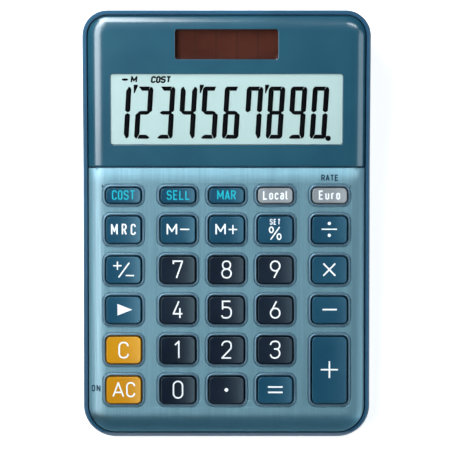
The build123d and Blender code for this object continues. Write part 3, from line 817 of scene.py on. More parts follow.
def makeBeadTree():
    tree, given = startTree("beadRings", ("Ring Width", "Ring Length", "Corner", "Bead Radius", "Tilt"))
    size = {"Width": given["Ring Width"], "Height": given["Ring Length"]}
    outline = addNode(tree, "GeometryNodeCurvePrimitiveQuadrilateral", size).outputs["Curve"]
    turn = {"Curve": outline, "Radius": given["Corner"], "Count": beadLook["cornerSteps"]}
    fillet = addNode(tree, "GeometryNodeFilletCurve", turn, mode="POLY").outputs["Curve"]
    wire = {"Radius": given["Bead Radius"], "Resolution": beadLook["around"]}
    section = addNode(tree, "GeometryNodeCurvePrimitiveCircle", wire).outputs["Curve"]
    sweep = addNode(tree, "GeometryNodeCurveToMesh", {"Curve": fillet, "Profile Curve": section})
    smooth = addNode(tree, "GeometryNodeSetShadeSmooth", {"Geometry": sweep.outputs["Mesh"]})
    lean = addNode(tree, "ShaderNodeCombineXYZ", {"X": given["Tilt"]})
    return endTree(tree, given, smooth.outputs["Geometry"], lean.outputs["Vector"])


def makeBeads():
    tree = makeBeadTree()
    radius = beadLook["width"] / 2
    place, _ = onDeck(keySlope)
    height = np.float64(case["rise"] - beadLook["sink"])
    for kind, wanted in (("short", shortKeys), ("square", sum(keyRows, ())), ("tall", ("key_plus",))):
        points = []
        for name in wanted:
            across, along, length = keyPlaces[name]
            points.append(tuple(place(np.float64(across), np.float64(along), height)))
        reach = 2 * (keyField["gap"] + radius)
        values = {
            "Ring Width": (keyField["width"] + reach) * mm, "Ring Length": (length + reach) * mm,
            "Corner": (keyField["corner"] + keyField["gap"] + radius) * mm, "Bead Radius": radius * mm,
            "Tilt": keySlope,
        }
        mesh = runTree(f"bead_rings_{kind}", tree, points, values, materials["bead"])
        addPiece(f"bead_rings_{kind}", mesh, materials["bead"], "housing")
        print("bead rings", kind, len(mesh.polygons), "faces")


makeBeads()

# keys

keyTop = case["rise"] + keyField["rise"]
dishRadius = ((keyField["width"] / 2) ** 2 + keyField["dish"] ** 2) / (2 * keyField["dish"])


def dishedTop(x, y):
    out = np.clip(np.abs(x), 0, keyField["dishReach"])
    return keyTop - keyField["dish"] + dishRadius - np.sqrt(dishRadius ** 2 - out ** 2)


def keyFinish(name):
    if name in ("key_clear", "key_all_clear"):
        return "orangeKey", "orange_key"
    if name in ("key_local_currency", "key_euro"):
        return "greyKey", "grey_key"
    if name == "key_point" or name[4:].isdigit():
        return "darkKey", "dark_key"
    return "blueKey", "blue_key"


def fillOutline(shape, steps, rings=(0,), lines=()):  # triangles inside one rounded outline
    loops = [insetLoop(shape, ring, steps) for ring in rings]
    return fillLoops(loops, lines, lambda x, y: depthInside(shape, x, y) > 0)


def makeKeycap(name, across, along, length):
    look = keyField
    shape = (look["width"], length, look["corner"], look["corner"], 0.0, 0.0)
    rounding = look["rounding"]
    deck = onDeck(keySlope, across, along)

    def top(x, y):
        return dishedTop(x, y) - roundOff(depthInside(shape, x, y), rounding)

    rings = [rounding * part for part in (0.0, 0.02, 0.08, 0.2, 0.36, 0.6, 1.0)]
    end = look["lineEnd"]
    lines = [[(x, -end), (x, end)] for x in (-4.4, -3.0, -1.5, 0.0, 1.5, 3.0, 4.4)]
    region = fillOutline(shape, cornerSteps["cap"], rings, lines)
    bottom = levelAt(look["flangeTop"] - look["overlap"])
    cap = makeSlab(name + "_cap", region, top, bottom, deck, outwardFrom(shape))

    grow, corner = look["flange"], look["flangeCorner"]
    flange = (look["width"] + 2 * grow, length + 2 * grow, corner, corner, 0.0, 0.0)
    faces = levelAt(look["flangeTop"]), levelAt(look["flangeTop"] - look["flangeThick"])
    region = fillOutline(flange, cornerSteps["flange"])
    skirt = makeSlab(name + "_flange", region, *faces, deck, outwardFrom(flange))
    joined = joinMeshes(name + "_top", (cap, skirt))
    finish, slot = keyFinish(name)
    addPiece(name + "_top", joined, materials[finish], name, name)


def joinMeshes(name, meshes):
    points, faces, normals = [], [], []
    for mesh in meshes:
        start = len(points)
        points += [tuple(v.co) for v in mesh.vertices]
        corner = [tuple(n.vector) for n in mesh.corner_normals]
        for polygon in mesh.polygons:
            faces.append([start + v for v in polygon.vertices])
            normals.append([corner[i] for i in polygon.loop_indices])
        bpy.data.meshes.remove(mesh)
    return makeMesh(name, points, faces, normals)


for keyName, (across, along, length) in keyPlaces.items():
    makeKeycap(keyName, across, along, length)
print("keys:", len(keyPlaces))

# legends, drawn as strokes of one width

# each letter has a width and strokes in a cell one high, and each point has x, y and a rounding

def path(*points):
    return points, False


def loop(*points):
    return points, True


strokeFont = {
    "0": (0.55, [loop((0, 0, 0.27), (0, 1, 0.27), (0.55, 1, 0.27), (0.55, 0, 0.27))]),
    "1": (0.28, [path((0, 0.78), (0.28, 1), (0.28, 0))]),
    "2": (0.55, [path((0, 0.74), (0, 1, 0.27), (0.55, 1, 0.27), (0.55, 0.58, 0.2), (0, 0), (0.55, 0))]),
    "3": (0.55, [path((0, 0.78), (0, 1, 0.27), (0.55, 1, 0.27), (0.55, 0.54, 0.2), (0.2, 0.54)),
        path((0.2, 0.54), (0.55, 0.54, 0.24), (0.55, 0, 0.27), (0, 0, 0.27), (0, 0.22))]),
    "4": (0.6, [path((0.36, 1), (0, 0.25), (0.6, 0.25)), path((0.43, 0.59), (0.43, 0))]),
    "5": (0.55, [path((0.5, 1), (0.04, 1), (0.04, 0.5)), path((0.04, 0.5), (0.04, 0.64, 0.08),
        (0.55, 0.64, 0.27), (0.55, 0, 0.27), (0, 0, 0.26), (0, 0.16))]),
    "6": (0.58, [loop((0, 0, 0.28), (0, 0.58, 0.28), (0.58, 0.58, 0.28), (0.58, 0, 0.28)), path((0.37, 1),
        (0.045, 0.42))]),
    "7": (0.58, [path((0, 0.82), (0, 1), (0.58, 1), (0.2, 0))]),
    "8": (0.55, [loop((0.04, 0.53, 0.22), (0.04, 1, 0.22), (0.51, 1, 0.22), (0.51, 0.53, 0.22)),
        loop((0, 0, 0.26), (0, 0.53, 0.26), (0.55, 0.53, 0.26), (0.55, 0, 0.26))]),
    "9": (0.58, [loop((0, 0.42, 0.28), (0, 1, 0.28), (0.58, 1, 0.28), (0.58, 0.42, 0.28)),
        path((0.535, 0.58), (0.21, 0))]),
    "A": (0.6, [path((0, 0), (0.3, 1), (0.6, 0)), path((0.1, 0.3), (0.5, 0.3))]),
    "C": (0.55, [path((0.55, 0.75), (0.55, 1, 0.26), (0, 1, 0.26), (0, 0, 0.26), (0.55, 0, 0.26),
        (0.55, 0.25))]),
    "E": (0.53, [path((0.53, 1), (0, 1), (0, 0), (0.53, 0)), path((0, 0.52), (0.46, 0.52))]),
    "L": (0.53, [path((0, 1), (0, 0), (0.53, 0))]),
    "M": (0.8, [path((0, 0), (0, 1), (0.4, 0.3), (0.8, 1), (0.8, 0))]),
    "N": (0.54, [path((0, 0), (0, 1), (0.54, 0), (0.54, 1))]),
    "O": (0.5, [loop((0, 0, 0.24), (0, 1, 0.24), (0.5, 1, 0.24), (0.5, 0, 0.24))]),
    "R": (0.55, [path((0, 0), (0, 1), (0.53, 1, 0.25), (0.53, 0.48, 0.25), (0, 0.48)), path((0.28, 0.48),
        (0.55, 0))]),
    "S": (0.58, [path((0.58, 0.78), (0.58, 1, 0.25), (0, 1, 0.25), (0, 0.53, 0.22), (0.58, 0.5, 0.22),
        (0.58, 0, 0.25), (0, 0, 0.25), (0, 0.22))]),
    "T": (0.6, [path((0, 1), (0.6, 1)), path((0.3, 1), (0.3, 0))]),
    "a": (0.42, [path((0.02, 0.62), (0.08, 0.72, 0.1), (0.42, 0.72, 0.2), (0.42, 0)), path((0.42, 0.43),
        (0, 0.43, 0.18), (0, 0, 0.18), (0.42, 0.02, 0.12), (0.42, 0.2))]),
    "c": (0.42, [path((0.42, 0.54), (0.42, 0.72, 0.19), (0, 0.72, 0.19), (0, 0, 0.19), (0.42, 0, 0.19),
        (0.42, 0.18))]),
    "l": (0.2, [path((0, 1), (0, 0, 0.18), (0.2, 0))]),
    "o": (0.44, [loop((0, 0, 0.2), (0, 0.72, 0.2), (0.44, 0.72, 0.2), (0.44, 0, 0.2))]),
    "r": (0.3, [path((0, 0), (0, 0.72)), path((0, 0.45), (0, 0.72, 0.2), (0.3, 0.72))]),
    "u": (0.44, [path((0, 0.72), (0, 0, 0.2), (0.44, 0, 0.2), (0.44, 0.2)), path((0.44, 0.72),
        (0.44, 0))]),
    "-": (1.0, [path((0, 0.5), (1, 0.5))]),
    "+": (1.0, [path((0, 0.5), (1, 0.5)), path((0.5, 0), (0.5, 1))]),
    "x": (1.0, [path((0, 0), (1, 1)), path((0, 1), (1, 0))]),
    "/": (1.0, [path((0, 0), (1, 1))]),
}
smallLetters = "acour"
smallHeight = 0.72
strokeLook = {
    "step": 0.26, "least": 0.004, "mitre": 0.69, "jointSides": 12, "wholeSide": 0.9998, "halfSide": 0.4998,
}


def roundCorners(points, closed):  # points along a stroke with its corners turned
    look = strokeLook
    found = []
    count = len(points)
    for i, point in enumerate(points):
        radius = point[2] if len(point) > 2 else 0
        here = Vector(point[:2])
        if radius == 0 or (not closed and i in (0, count - 1)):
            found.append(here)
            continue
        before = Vector(points[i - 1][:2]) - here
        after = Vector(points[(i + 1) % count][:2]) - here
        spread = before.angle(after)
        # a side that ends here gives all of its length, and one between two corners gives half
        shareBefore = look["wholeSide"] if not closed and i == 1 else look["halfSide"]
        shareAfter = look["wholeSide"] if not closed and i == count - 2 else look["halfSide"]
        reach = min(radius / math.tan(spread / 2), before.length * shareBefore, after.length * shareAfter)
        radius = reach * math.tan(spread / 2)
        towards = (before.normalized() + after.normalized()).normalized()
        middle = here + towards * (radius / math.sin(spread / 2))
        start = here + before.normalized() * reach - middle
        end = here + after.normalized() * reach - middle
        turn = start.angle_signed(end)
        steps = max(2, round(abs(turn) / look["step"]))
        for step in range(steps + 1):
            found.append(middle + Matrix.Rotation(-turn * step / steps, 2) @ start)
    return found


def strokeShapes(points, width, closed):  # a stroke's cells: mitred where they meet, round at sharp turns
    look = strokeLook
    cleaned = []
    for point in points:
        if not cleaned or (point - cleaned[-1]).length > look["least"]:
            cleaned.append(point)
    if closed and (cleaned[0] - cleaned[-1]).length < look["least"]:
        cleaned.pop()
    count = len(cleaned)
    enter, leave, cells = [], [], []
    for i, here in enumerate(cleaned):
        before = here - cleaned[i - 1] if (closed or i > 0) else cleaned[1] - here
        after = cleaned[(i + 1) % count] - here if (closed or i < count - 1) else before
        before, after = before.normalized(), after.normalized()
        normalA = Vector((-before.y, before.x))
        normalB = Vector((-after.y, after.x))
        mitre = (normalA + normalB).normalized()
        if mitre.dot(normalA) > look["mitre"]:
            normalA = normalB = mitre / mitre.dot(normalA)
        else:
            cells.append([here + Vector(p) for p in discShape(0, 0, width / 2, look["jointSides"])])
        enter.append((here + normalA * (width / 2), here - normalA * (width / 2)))
        leave.append((here + normalB * (width / 2), here - normalB * (width / 2)))
    for i in range(count if closed else count - 1):
        a, b = leave[i], enter[(i + 1) % count]
        cells.append([a[1], b[1], b[0], a[0]])
    return cells


def glyphShapes(letter, left, right, bottom, top, stroke):  # a letter that fills this box
    width, strokes = strokeFont[letter]
    height = smallHeight if letter in smallLetters else 1.0
    scaleX = (right - left - stroke) / width
    scaleY = (top - bottom - stroke) / height
    shapes = []
    for points, closed in strokes:
        placed = []
        for point in points:
            x = left + stroke / 2 + point[0] * scaleX
            y = bottom + stroke / 2 + point[1] * scaleY
            radius = (point[2] * scaleY,) if len(point) > 2 else ()
            placed.append((x, y) + radius)
        shapes += strokeShapes(roundCorners(placed, closed), stroke, closed)
    return shapes


def wordShapes(word, left, right, bottom, top, stroke, narrow=0.78):  # letters spread between two sides
    tall = top - bottom
    widths = []
    for letter in word:
        widths.append(strokeFont[letter][0] * narrow * (tall - stroke) + stroke)
    space = (right - left - sum(widths)) / max(len(word) - 1, 1)
    shapes, place = [], left
    for letter, width in zip(word, widths):
        high = bottom + (tall - stroke) * smallHeight + stroke if letter in smallLetters else top
        shapes += glyphShapes(letter, place, place + width, bottom, high, stroke)
        place += width + space
    return shapes


def discShape(x, y, radius, steps=20):
    turns = [2 * math.pi * step / steps for step in range(steps)]
    return [(x + radius * math.cos(t), y + radius * math.sin(t)) for t in turns]


def barShape(left, right, bottom, top):
    return [(left, bottom), (right, bottom), (right, top), (left, top)]


# boxes in picture points from the middle of each key: left, right, bottom, top (up is plus), then the stroke
pointsPerMm = 2.778
digitBox = (-5.3, 5.3, -9.1, 9.1)
digitStroke = 1.5
legends = {
    "key_cost": [("COST", -11.5, 11.6, -4.85, 4.9, 1.3)],
    "key_sell": [("SELL", -11.1, 12.2, -4.85, 4.9, 1.3)],
    "key_margin": [("MAR", -9.4, 9.4, -4.85, 4.9, 1.3)],
    "key_local_currency": [("Local", -12.3, 12.9, -4.6, 4.6, 1.45)],
    "key_euro": [("Euro", -10.9, 10.5, -4.6, 4.6, 1.45)],
    "key_memory_recall": [("MRC", -12.4, 12.3, -5.75, 5.6, 1.5, 0.66)],
    "key_memory_minus": [("M", -11.2, -0.7, -5.75, 5.6, 1.55), ("-", 1.6, 12.2, -5.0, 5.0, 1.3)],
    "key_memory_plus": [("M", -11.2, -0.7, -5.75, 5.6, 1.55), ("+", 1.4, 11.3, -5.4, 5.1, 1.3)],
    "key_percent": [("SET", -5.5, 5.2, 4.6, 10.4, 0.9, 0.7)],
    "key_divide": [("-", -8.7, 8.0, -5.0, 5.2, 1.25)],
    "key_sign": [
        ("+", -10.9, -1.3, -1.0, 8.6, 1.3), ("/", -5.6, 6.4, -8.6, 7.4, 1.4),
        ("-", 1.5, 11.1, -11.0, -1.0, 1.3),
    ],
    "key_multiply": [("x", -7.0, 6.5, -7.0, 6.8, 1.6)],
    "key_minus": [("-", -7.9, 8.1, -5.0, 5.0, 1.6)],
    "key_plus": [("+", -9.4, 9.4, -9.3, 9.3, 1.6)],
    "key_clear": [("C", -5.2, 5.1, -8.8, 7.9, 1.5)],
    "key_all_clear": [("A", -11.4, 0.4, -7.6, 7.7, 1.5), ("C", 2.4, 11.5, -7.6, 7.7, 1.5)],
    "key_1": [("1", -3.6, 1.6, -9.1, 9.1, 1.5)],
}
for digit in "023456789":
    legends["key_" + digit] = [(digit, *digitBox, digitStroke)]
# what isn't a letter, in the same points: discs, bars and an arrow head
legendDiscs = {"key_divide": ((-0.35, 5.8, 1.65), (-0.35, -6.0, 1.65)), "key_point": ((-0.2, -0.2, 1.9),)}
legendBars = {"key_equals": ((-7.2, 7.6, 1.9, 3.5), (-7.2, 7.6, -3.5, -1.9))}
legendAreas = {"key_step_back": ((-6.1, -5.9), (8.6, -0.1), (-6.1, 5.7))}
percentLook = {
    "rings": ((-3.9, -0.5), (3.8, -7.3)), "radius": 1.9, "tall": 1.45, "stroke": 1.35,
    "slash": ((-4.6, -10.2), (4.4, 2.4)),
}


def legendShapes(name):
    shapes = []
    for text, left, right, bottom, top, stroke, *narrow in legends.get(name, ()):
        box = [value / pointsPerMm for value in (left, right, bottom, top, stroke)]
        shapes += wordShapes(text, *box, *narrow) if len(text) > 1 else glyphShapes(text, *box)
    dot = 1 / pointsPerMm
    shapes += [discShape(*(value * dot for value in disc)) for disc in legendDiscs.get(name, ())]
    shapes += [barShape(*(value * dot for value in bar)) for bar in legendBars.get(name, ())]
    if name in legendAreas:
        shapes.append([(x * dot, y * dot) for x, y in legendAreas[name]])
    if name == "key_percent":  # two tall rings and a slash, of one stroke
        look = percentLook
        stroke = look["stroke"] * dot
        for x, y in look["rings"]:
            disc = discShape(x * dot, y * dot, look["radius"] * dot)
            ring = [Vector((across, y * dot + (up - y * dot) * look["tall"])) for across, up in disc]
            shapes += strokeShapes(ring, stroke, True)
        slash = [Vector((x * dot, y * dot)) for x, y in look["slash"]]
        shapes += strokeShapes(slash, stroke, False)
    return shapes


inkLook = {"over": 0.03, "under": 0.08, "back": 0.2, "plateWidth": 0.95}


def makeLegend(name, shapes, deck, surface, material, body):
    top = lambda x, y: surface(x, y) + inkLook["over"]
    bottom = lambda x, y: surface(x, y) - inkLook["under"]
    addPiece(name, makeSlab(name, fillShapes(shapes), top, bottom, deck), material, body)


for keyName, (across, along, length) in keyPlaces.items():
    ink = "cyanInk" if keyName in ("key_cost", "key_sell", "key_margin") else "whiteInk"
    deck = onDeck(keySlope, across, along + inkLook["back"])
    slot = keyFinish(keyName)[1]
    makeLegend("legend_" + keyName, legendShapes(keyName), deck, dishedTop, materials[ink], keyName)


def plateSurface(x, y):  # the plate's face, square to the deck
    planY = bendY + y * cosKey - case["rise"] * math.sin(keySlope)
    return case["rise"] - plateEdgeDrop(x, planY) - gapCrown(planY)


pictureMiddle = 225  # in picture points
caseShift = 0.56  # millimetres from the picture's middle to the case's


def plateWord(name, word, left, right, top, bottom, stroke):  # a word printed on the plate, by picture points
    box = [(x - pictureMiddle) / pointsPerMm - caseShift for x in (left, right)]
    rows = [((pictureMiddle - y) / pointsPerMm - bendY) / cosKey for y in (bottom, top)]
    shapes = wordShapes(word, *box, *rows, stroke / pointsPerMm, inkLook["plateWidth"])
    makeLegend(name, shapes, onDeck(keySlope), plateSurface, materials["tealInk"], "housing")


plateWord("legend_rate", "RATE", 321.0, 338.4, 174.5, 181.0, 1.3)
plateWord("legend_on", "ON", 91.2, 100.3, 385.1, 391.9, 1.2)
print("legends:", len(keyPlaces) + 2)

# display digits

digitLook = {
    "width": 5.95, "height": 19.2, "across": 1.55, "down": 1.85, "slant": 0.061, "pitch": 7.87,
    "left": -41.1, "base": -10.95, "thick": 0.03,
}


def segmentShapes():
    w, h, ta, td = (digitLook[key] for key in ("width", "height", "across", "down"))
    half = h / 2
    right = [(w - 1.0, h - 0.05), (w - td, h - ta - 0.1), (w - td, half + 0.75), (w - 0.95, half + 0.15),
             (w - 0.5, half + 0.3), (w, half + 0.75), (w, h - 1.1), (w - 0.35, h - 0.35)]
    foot = [(w - td, half - 0.75), (w - td, ta + 0.35), (w - 0.95, 0.1), (w - 0.45, 0.3), (w, 1.0),
            (w, half - 0.75), (w - 0.5, half - 0.3), (w - 0.95, half - 0.15)]
    mirror = lambda shape: [(w - x, y) for x, y in shape]
    return {
        "a": [(0.65, h), (1.9, h - ta), (w - 1.75, h - ta), (w - 1.2, h)],
        "b": right, "c": foot, "e": mirror(foot), "f": mirror(right),
        "d": [(1.2, 0.05), (w - 0.95, 0.05), (w - 0.4, 0.5), (w - 1.3, ta - 0.25), (w - 1.9, ta), (1.8, ta)],
        "g": [(0.75, half), (1.3, half - 0.45), (1.9, half - 0.7), (w - 1.9, half - 0.7),
              (w - 1.3, half - 0.45), (w - 0.75, half), (w - 1.3, half + 0.45), (w - 1.9, half + 0.7),
              (1.9, half + 0.7), (1.3, half + 0.45)],
    }


litSegments = {
    "1": "bc", "2": "abged", "3": "abgcd", "4": "fgbc", "5": "afgcd", "6": "afgedc", "7": "abcf",
    "8": "abcdefg", "9": "abcdfg", "0": "abcdef",
}
# places in picture points
lcdPicture = {
    "perMm": 2.79, "middle": (226.44, 108.95), "wordLean": 0.12, "wordWidth": 1.08,
    "commas": (133.7, 199.6, 264.8),
    "comma": ((0.0, 93.5), (1.0, 93.2), (4.2, 86.2), (4.2, 84.8), (0.0, 84.8)),
    "point": (328.1, 138.0), "pointRadius": 1.0, "oval": (125.0, 79.75), "ovalReach": (1.2, 0.45),
    "ovalSteps": 16,
    "words": (("M", 130.9, 137.2, 76.2, 83.1, 1.6), ("COST", 151.0, 171.2, 76.2, 83.2, 1.75)),
}


def lcdPoint(x, y):  # from picture points to the window's own millimetres
    scale, (middleX, middleY) = lcdPicture["perMm"], lcdPicture["middle"]
    return ((x - middleX) / scale, (middleY - y) / scale / cosDisplay)


def lcdWord(word, left, right, top, bottom, stroke):
    look = lcdPicture
    (x0, y0), (x1, y1) = lcdPoint(left, bottom), lcdPoint(right, top)
    shapes = wordShapes(word, x0, x1, y0, y1, stroke / look["perMm"], look["wordWidth"])
    middle = (y0 + y1) / 2
    return [[(x + look["wordLean"] * (y - middle), y) for x, y in shape] for shape in shapes]


displayLook = {"side": 0.03, "windowTop": 0.5, "windowBack": 0.22, "fieldTop": 0.16, "fieldBack": -2.5}


def makeDisplayField():  # the clear window and the pale field close behind it
    look = displayLook
    window = windows["lcd"]
    grow = -2 * look["side"]
    shape = (window["width"] + grow, window["length"] + grow, window["corner"], window["corner"], 0.0, 0.0)
    deck = onDeck(displaySlope, 0.0, window["along"])
    for name, top, bottom, finish, slot, node in (
        ("display_window", "windowTop", "windowBack", "window", "clear_window", "lcd_window"),
        ("display_field", "fieldTop", "fieldBack", "crystal", "polariser", "lcd_front_polariser"),
    ):
        faces = levelAt(look[top]), levelAt(look[bottom])
        region = fillOutline(shape, cornerSteps["window"])
        mesh = makeSlab(name, region, *faces, deck, outwardFrom(shape))
        addPiece(name, mesh, materials[finish], "housing", node)


def makeDigits():
    look = digitLook
    segments = segmentShapes()
    shapes = []
    for place, digit in enumerate("1234567890"):
        for segment in litSegments[digit]:
            shape = segments[segment]
            if segment == "d" and "e" not in litSegments[digit]:  # its free end is at the left here
                shape = [(look["width"] - x, y) for x, y in shape]
            left = look["left"] + place * look["pitch"]
            shapes.append([(left + x + y * look["slant"], look["base"] + y) for x, y in shape])
    picture = lcdPicture
    for left in picture["commas"]:
        shapes.append([lcdPoint(left + x, y) for x, y in picture["comma"]])
    shapes.append(discShape(*lcdPoint(*picture["point"]), picture["pointRadius"]))
    x, y = lcdPoint(*picture["oval"])
    wide, high = picture["ovalReach"]
    turns = np.linspace(0, 2 * math.pi, picture["ovalSteps"])[:-1]
    shapes.append([(x + wide * math.cos(t), y + high * math.sin(t)) for t in turns])
    for word in picture["words"]:
        shapes += lcdWord(*word)
    deck = onDeck(displaySlope, 0.0, windows["lcd"]["along"])
    top, bottom = (levelAt(displayLook["fieldTop"] + thick) for thick in (look["thick"], -look["thick"]))
    mesh = makeSlab("display_digits", fillShapes(shapes), top, bottom, deck)
    addPiece("display_digits", mesh, materials["lcdBlack"], "housing")
    print("display digits:", len(mesh.polygons), "faces")


makeDisplayField()
makeDigits()

# case halves, screws and feet

solidLook = {"joined": 1e-7, "flat": math.radians(0.5), "crease": math.radians(28)}


def copyMerged(node, name):  # a copy of a solid's mesh with its corners joined, shaded by angle
    look = solidLook
    work = bmesh.new()
    work.from_mesh(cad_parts[node].data)
    bmesh.ops.remove_doubles(work, verts=work.verts, dist=look["joined"])
    bmesh.ops.dissolve_limit(work, angle_limit=look["flat"], verts=work.verts, edges=work.edges)
    for face in work.faces:
        face.smooth = True
    for edge in work.edges:
        edge.smooth = not (len(edge.link_faces) == 2 and edge.calc_face_angle(0) > look["crease"])
    mesh = bpy.data.meshes.new(name)
    work.to_mesh(mesh)
    work.free()
    return mesh


for node, name, finish, slot in (
    ("upper_case", "case_top", "upperCase", "upper_case_plastic"),
    ("lower_case", "case_tray", "lowerCase", "lower_case_plastic"),
):
    mesh = copyMerged(node, name)
    addPiece(name, mesh, materials[finish], "housing", node)
    print(name, len(mesh.polygons), "faces")

screwLook = {
    "head": 2.0, "headDepth": 1.3, "headSides": 32, "shank": 1.0, "shankLength": 4.2, "shankSides": 20,
    "crossLength": 2.4, "crossWidth": 0.55, "crossDepth": 0.8,
    "underParting": 1.6, "places": ((36.0, -70.3), (42.0, 67.0)),
}


def makeScrewTree():
    look = screwLook
    labels = ("Head Radius", "Head Depth", "Shank Radius", "Shank Length", "Cross Length", "Cross Width")
    tree, given = startTree("crossScrews", (*labels, "Cross Depth"))

    def lift(shape, depth, share):  # raises a shape by a share of this depth
        height = addMath(tree, "MULTIPLY", given[depth], share)
        spot = addNode(tree, "ShaderNodeCombineXYZ", {"Z": height}).outputs["Vector"]
        inputs = {"Translation": spot, "Geometry": shape}
        return addNode(tree, "GeometryNodeTransform", inputs).outputs["Geometry"]

    def rod(radius, depth, sides, share):
        inputs = {"Vertices": sides, "Radius": given[radius], "Depth": given[depth]}
        return lift(addNode(tree, "GeometryNodeMeshCylinder", inputs).outputs["Mesh"], depth, share)

    head = rod("Head Radius", "Head Depth", look["headSides"], -0.5)  # the head hangs below its seat
    shank = rod("Shank Radius", "Shank Length", look["shankSides"], 0.5)
    cut = addNode(tree, "GeometryNodeMeshBoolean", {"Mesh 1": head}, operation="DIFFERENCE")
    for first, second in (("Cross Length", "Cross Width"), ("Cross Width", "Cross Length")):
        sides = {"X": given[first], "Y": given[second], "Z": given["Cross Depth"]}
        size = addNode(tree, "ShaderNodeCombineXYZ", sides).outputs["Vector"]
        bar = addNode(tree, "GeometryNodeMeshCube", {"Size": size}).outputs["Mesh"]
        feed(tree, lift(bar, "Head Depth", -1.0), cut.inputs["Mesh 2"])
    join = addNode(tree, "GeometryNodeJoinGeometry", {"Geometry": cut.outputs["Mesh"]})
    feed(tree, shank, join.inputs["Geometry"])
    return endTree(tree, given, join.outputs["Geometry"])


def partingZ(y):
    return case["partingFront"] + (y + case["length"] / 2) * math.tan(keySlope)


def makeScrews():
    look = screwLook
    points = []
    for side in (-1, 1):
        for x, y in look["places"]:
            points.append((side * x * mm, y * mm, (partingZ(y) - look["underParting"]) * mm))
    sizes = {
        "Head Radius": look["head"], "Head Depth": look["headDepth"],
        "Shank Radius": look["shank"], "Shank Length": look["shankLength"],
        "Cross Length": look["crossLength"], "Cross Width": look["crossWidth"],
        "Cross Depth": 2 * look["crossDepth"],
    }
    values = {label: size * mm for label, size in sizes.items()}
    mesh = runTree("base_screws", makeScrewTree(), points, values, materials["screw"])
    addPiece("base_screws", mesh, materials["screw"], "housing", "case_screws")
    print("base screws:", len(mesh.polygons), "faces")


makeScrews()


def ringMesh(name, points, sides, ends, onlySidesSmooth=False, crease=math.tau):  # closed rings of points
    faces = []
    for start in range(0, len(points) // sides * sides - sides, sides):
        for side in range(sides):
            after = (side + 1) % sides
            faces.append((start + side, start + after, start + sides + after, start + sides + side))
    mesh = bpy.data.meshes.new(name)
    mesh.from_pydata(points, [], faces + ends)
    work = bmesh.new()
    work.from_mesh(mesh)
    bmesh.ops.recalc_face_normals(work, faces=work.faces)
    for face in work.faces:
        face.smooth = len(face.verts) == 4 or not onlySidesSmooth
    for edge in work.edges:
        edge.smooth = edge.calc_face_angle(0) < crease
    work.to_mesh(mesh)
    work.free()
    return mesh


footProfile = (  # radius and height
    (2.6, 0.12), (3.1, 0.05), (3.5, 0.0), (4.5, 0.0), (4.8, 0.08), (4.95, 0.25), (5.0, 0.5), (5.0, 1.5),
)
footLook = {"sides": 48, "crease": math.radians(40)}
footPlaces = {
    "foot_front_left": (-36, -52), "foot_front_right": (36, -52),
    "foot_rear_left": (-36, 58), "foot_rear_right": (36, 58),
}


def makeFoot(node, x, y):  # a turned rubber pad with a soft lower edge and a shallow dish
    sides = footLook["sides"]
    points, ends = [], []
    for radius, z in footProfile:
        for side in range(sides):
            turn = 2 * math.pi * side / sides
            points.append(((x + radius * math.cos(turn)) * mm, (y + radius * math.sin(turn)) * mm, z * mm))
    low = len(points)
    points += [(x * mm, y * mm, footProfile[row][1] * mm) for row in (0, -1)]
    for side in range(sides):
        after = (side + 1) % sides
        ends.append((low, after, side))
        ends.append((low + 1, low - sides + side, low - sides + after))
    mesh = ringMesh(node + "_pad", points, sides, ends, crease=footLook["crease"])
    addPiece(node + "_pad", mesh, materials["foot"], "housing", node)


for node, (x, y) in footPlaces.items():
    makeFoot(node, x, y)
print("feet:", len(footPlaces))

# key mat: a dome of rubber under each key

matLook = {"top": -4.0, "reach": 3.6, "kept": 0.03, "sides": 24, "lumpStart": 0.1}
domeProfile = (
    (1.9, 1.58), (2.3, 1.5), (2.5, 1.3), (3.45, 0.12), (3.5, 0.0), (2.8, 0.0), (2.1, 0.95), (1.8, 1.1),
)


def makeMatSheet():  # the solid's own sheet, its plain lumps taken off
    mesh = copyMerged("key_mat", "mat_sheet")
    work = bmesh.new()
    work.from_mesh(mesh)
    cos, sin = math.cos(keySlope), math.sin(keySlope)
    lumps = []
    for vertex in work.verts:
        height = (vertex.co.z / mm - bendZ) * cos - (vertex.co.y / mm - bendY) * sin
        if height > matLook["top"] + matLook["lumpStart"]:
            lumps.append(vertex)
    bmesh.ops.delete(work, geom=lumps, context="VERTS")
    bmesh.ops.holes_fill(work, edges=[edge for edge in work.edges if edge.is_boundary], sides=0)
    bmesh.ops.recalc_face_normals(work, faces=work.faces)
    work.to_mesh(mesh)
    work.free()
    addPiece("key_mat_sheet", mesh, materials["mat"], "housing", "key_mat")


def makeDome(name, across, along, length):
    place, turn = onDeck(keySlope, across, along)
    top, sides = matLook["top"], matLook["sides"]
    share = min(matLook["reach"], length / 2) / matLook["reach"]
    turns = np.arange(sides) * 2 * math.pi / sides
    points = []
    for reach, height in domeProfile:
        x, y = reach * share * np.cos(turns), reach * share * np.sin(turns)
        points += [tuple(p) for p in place(x, y, np.full(sides, top + height))]
    ends = [tuple(range(sides)), tuple(reversed(range(len(points) - sides, len(points))))]
    mesh = ringMesh(name + "_dome", points, sides, ends, onlySidesSmooth=True)
    piece = addPiece(name + "_dome", mesh, materials["mat"], "housing")
    axis = turn(np.array([0.0, 0.0, 1.0]))
    anchor = place(np.array(0.0), np.array(0.0), np.array(top))
    tuple(axis)
    tuple(anchor)
    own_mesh(piece)


makeMatSheet()
for name, (across, along, length) in keyPlaces.items():
    makeDome(name, across, along, length)
print("mat domes:", len(keyPlaces))

# inner pieces keep their solids' meshes

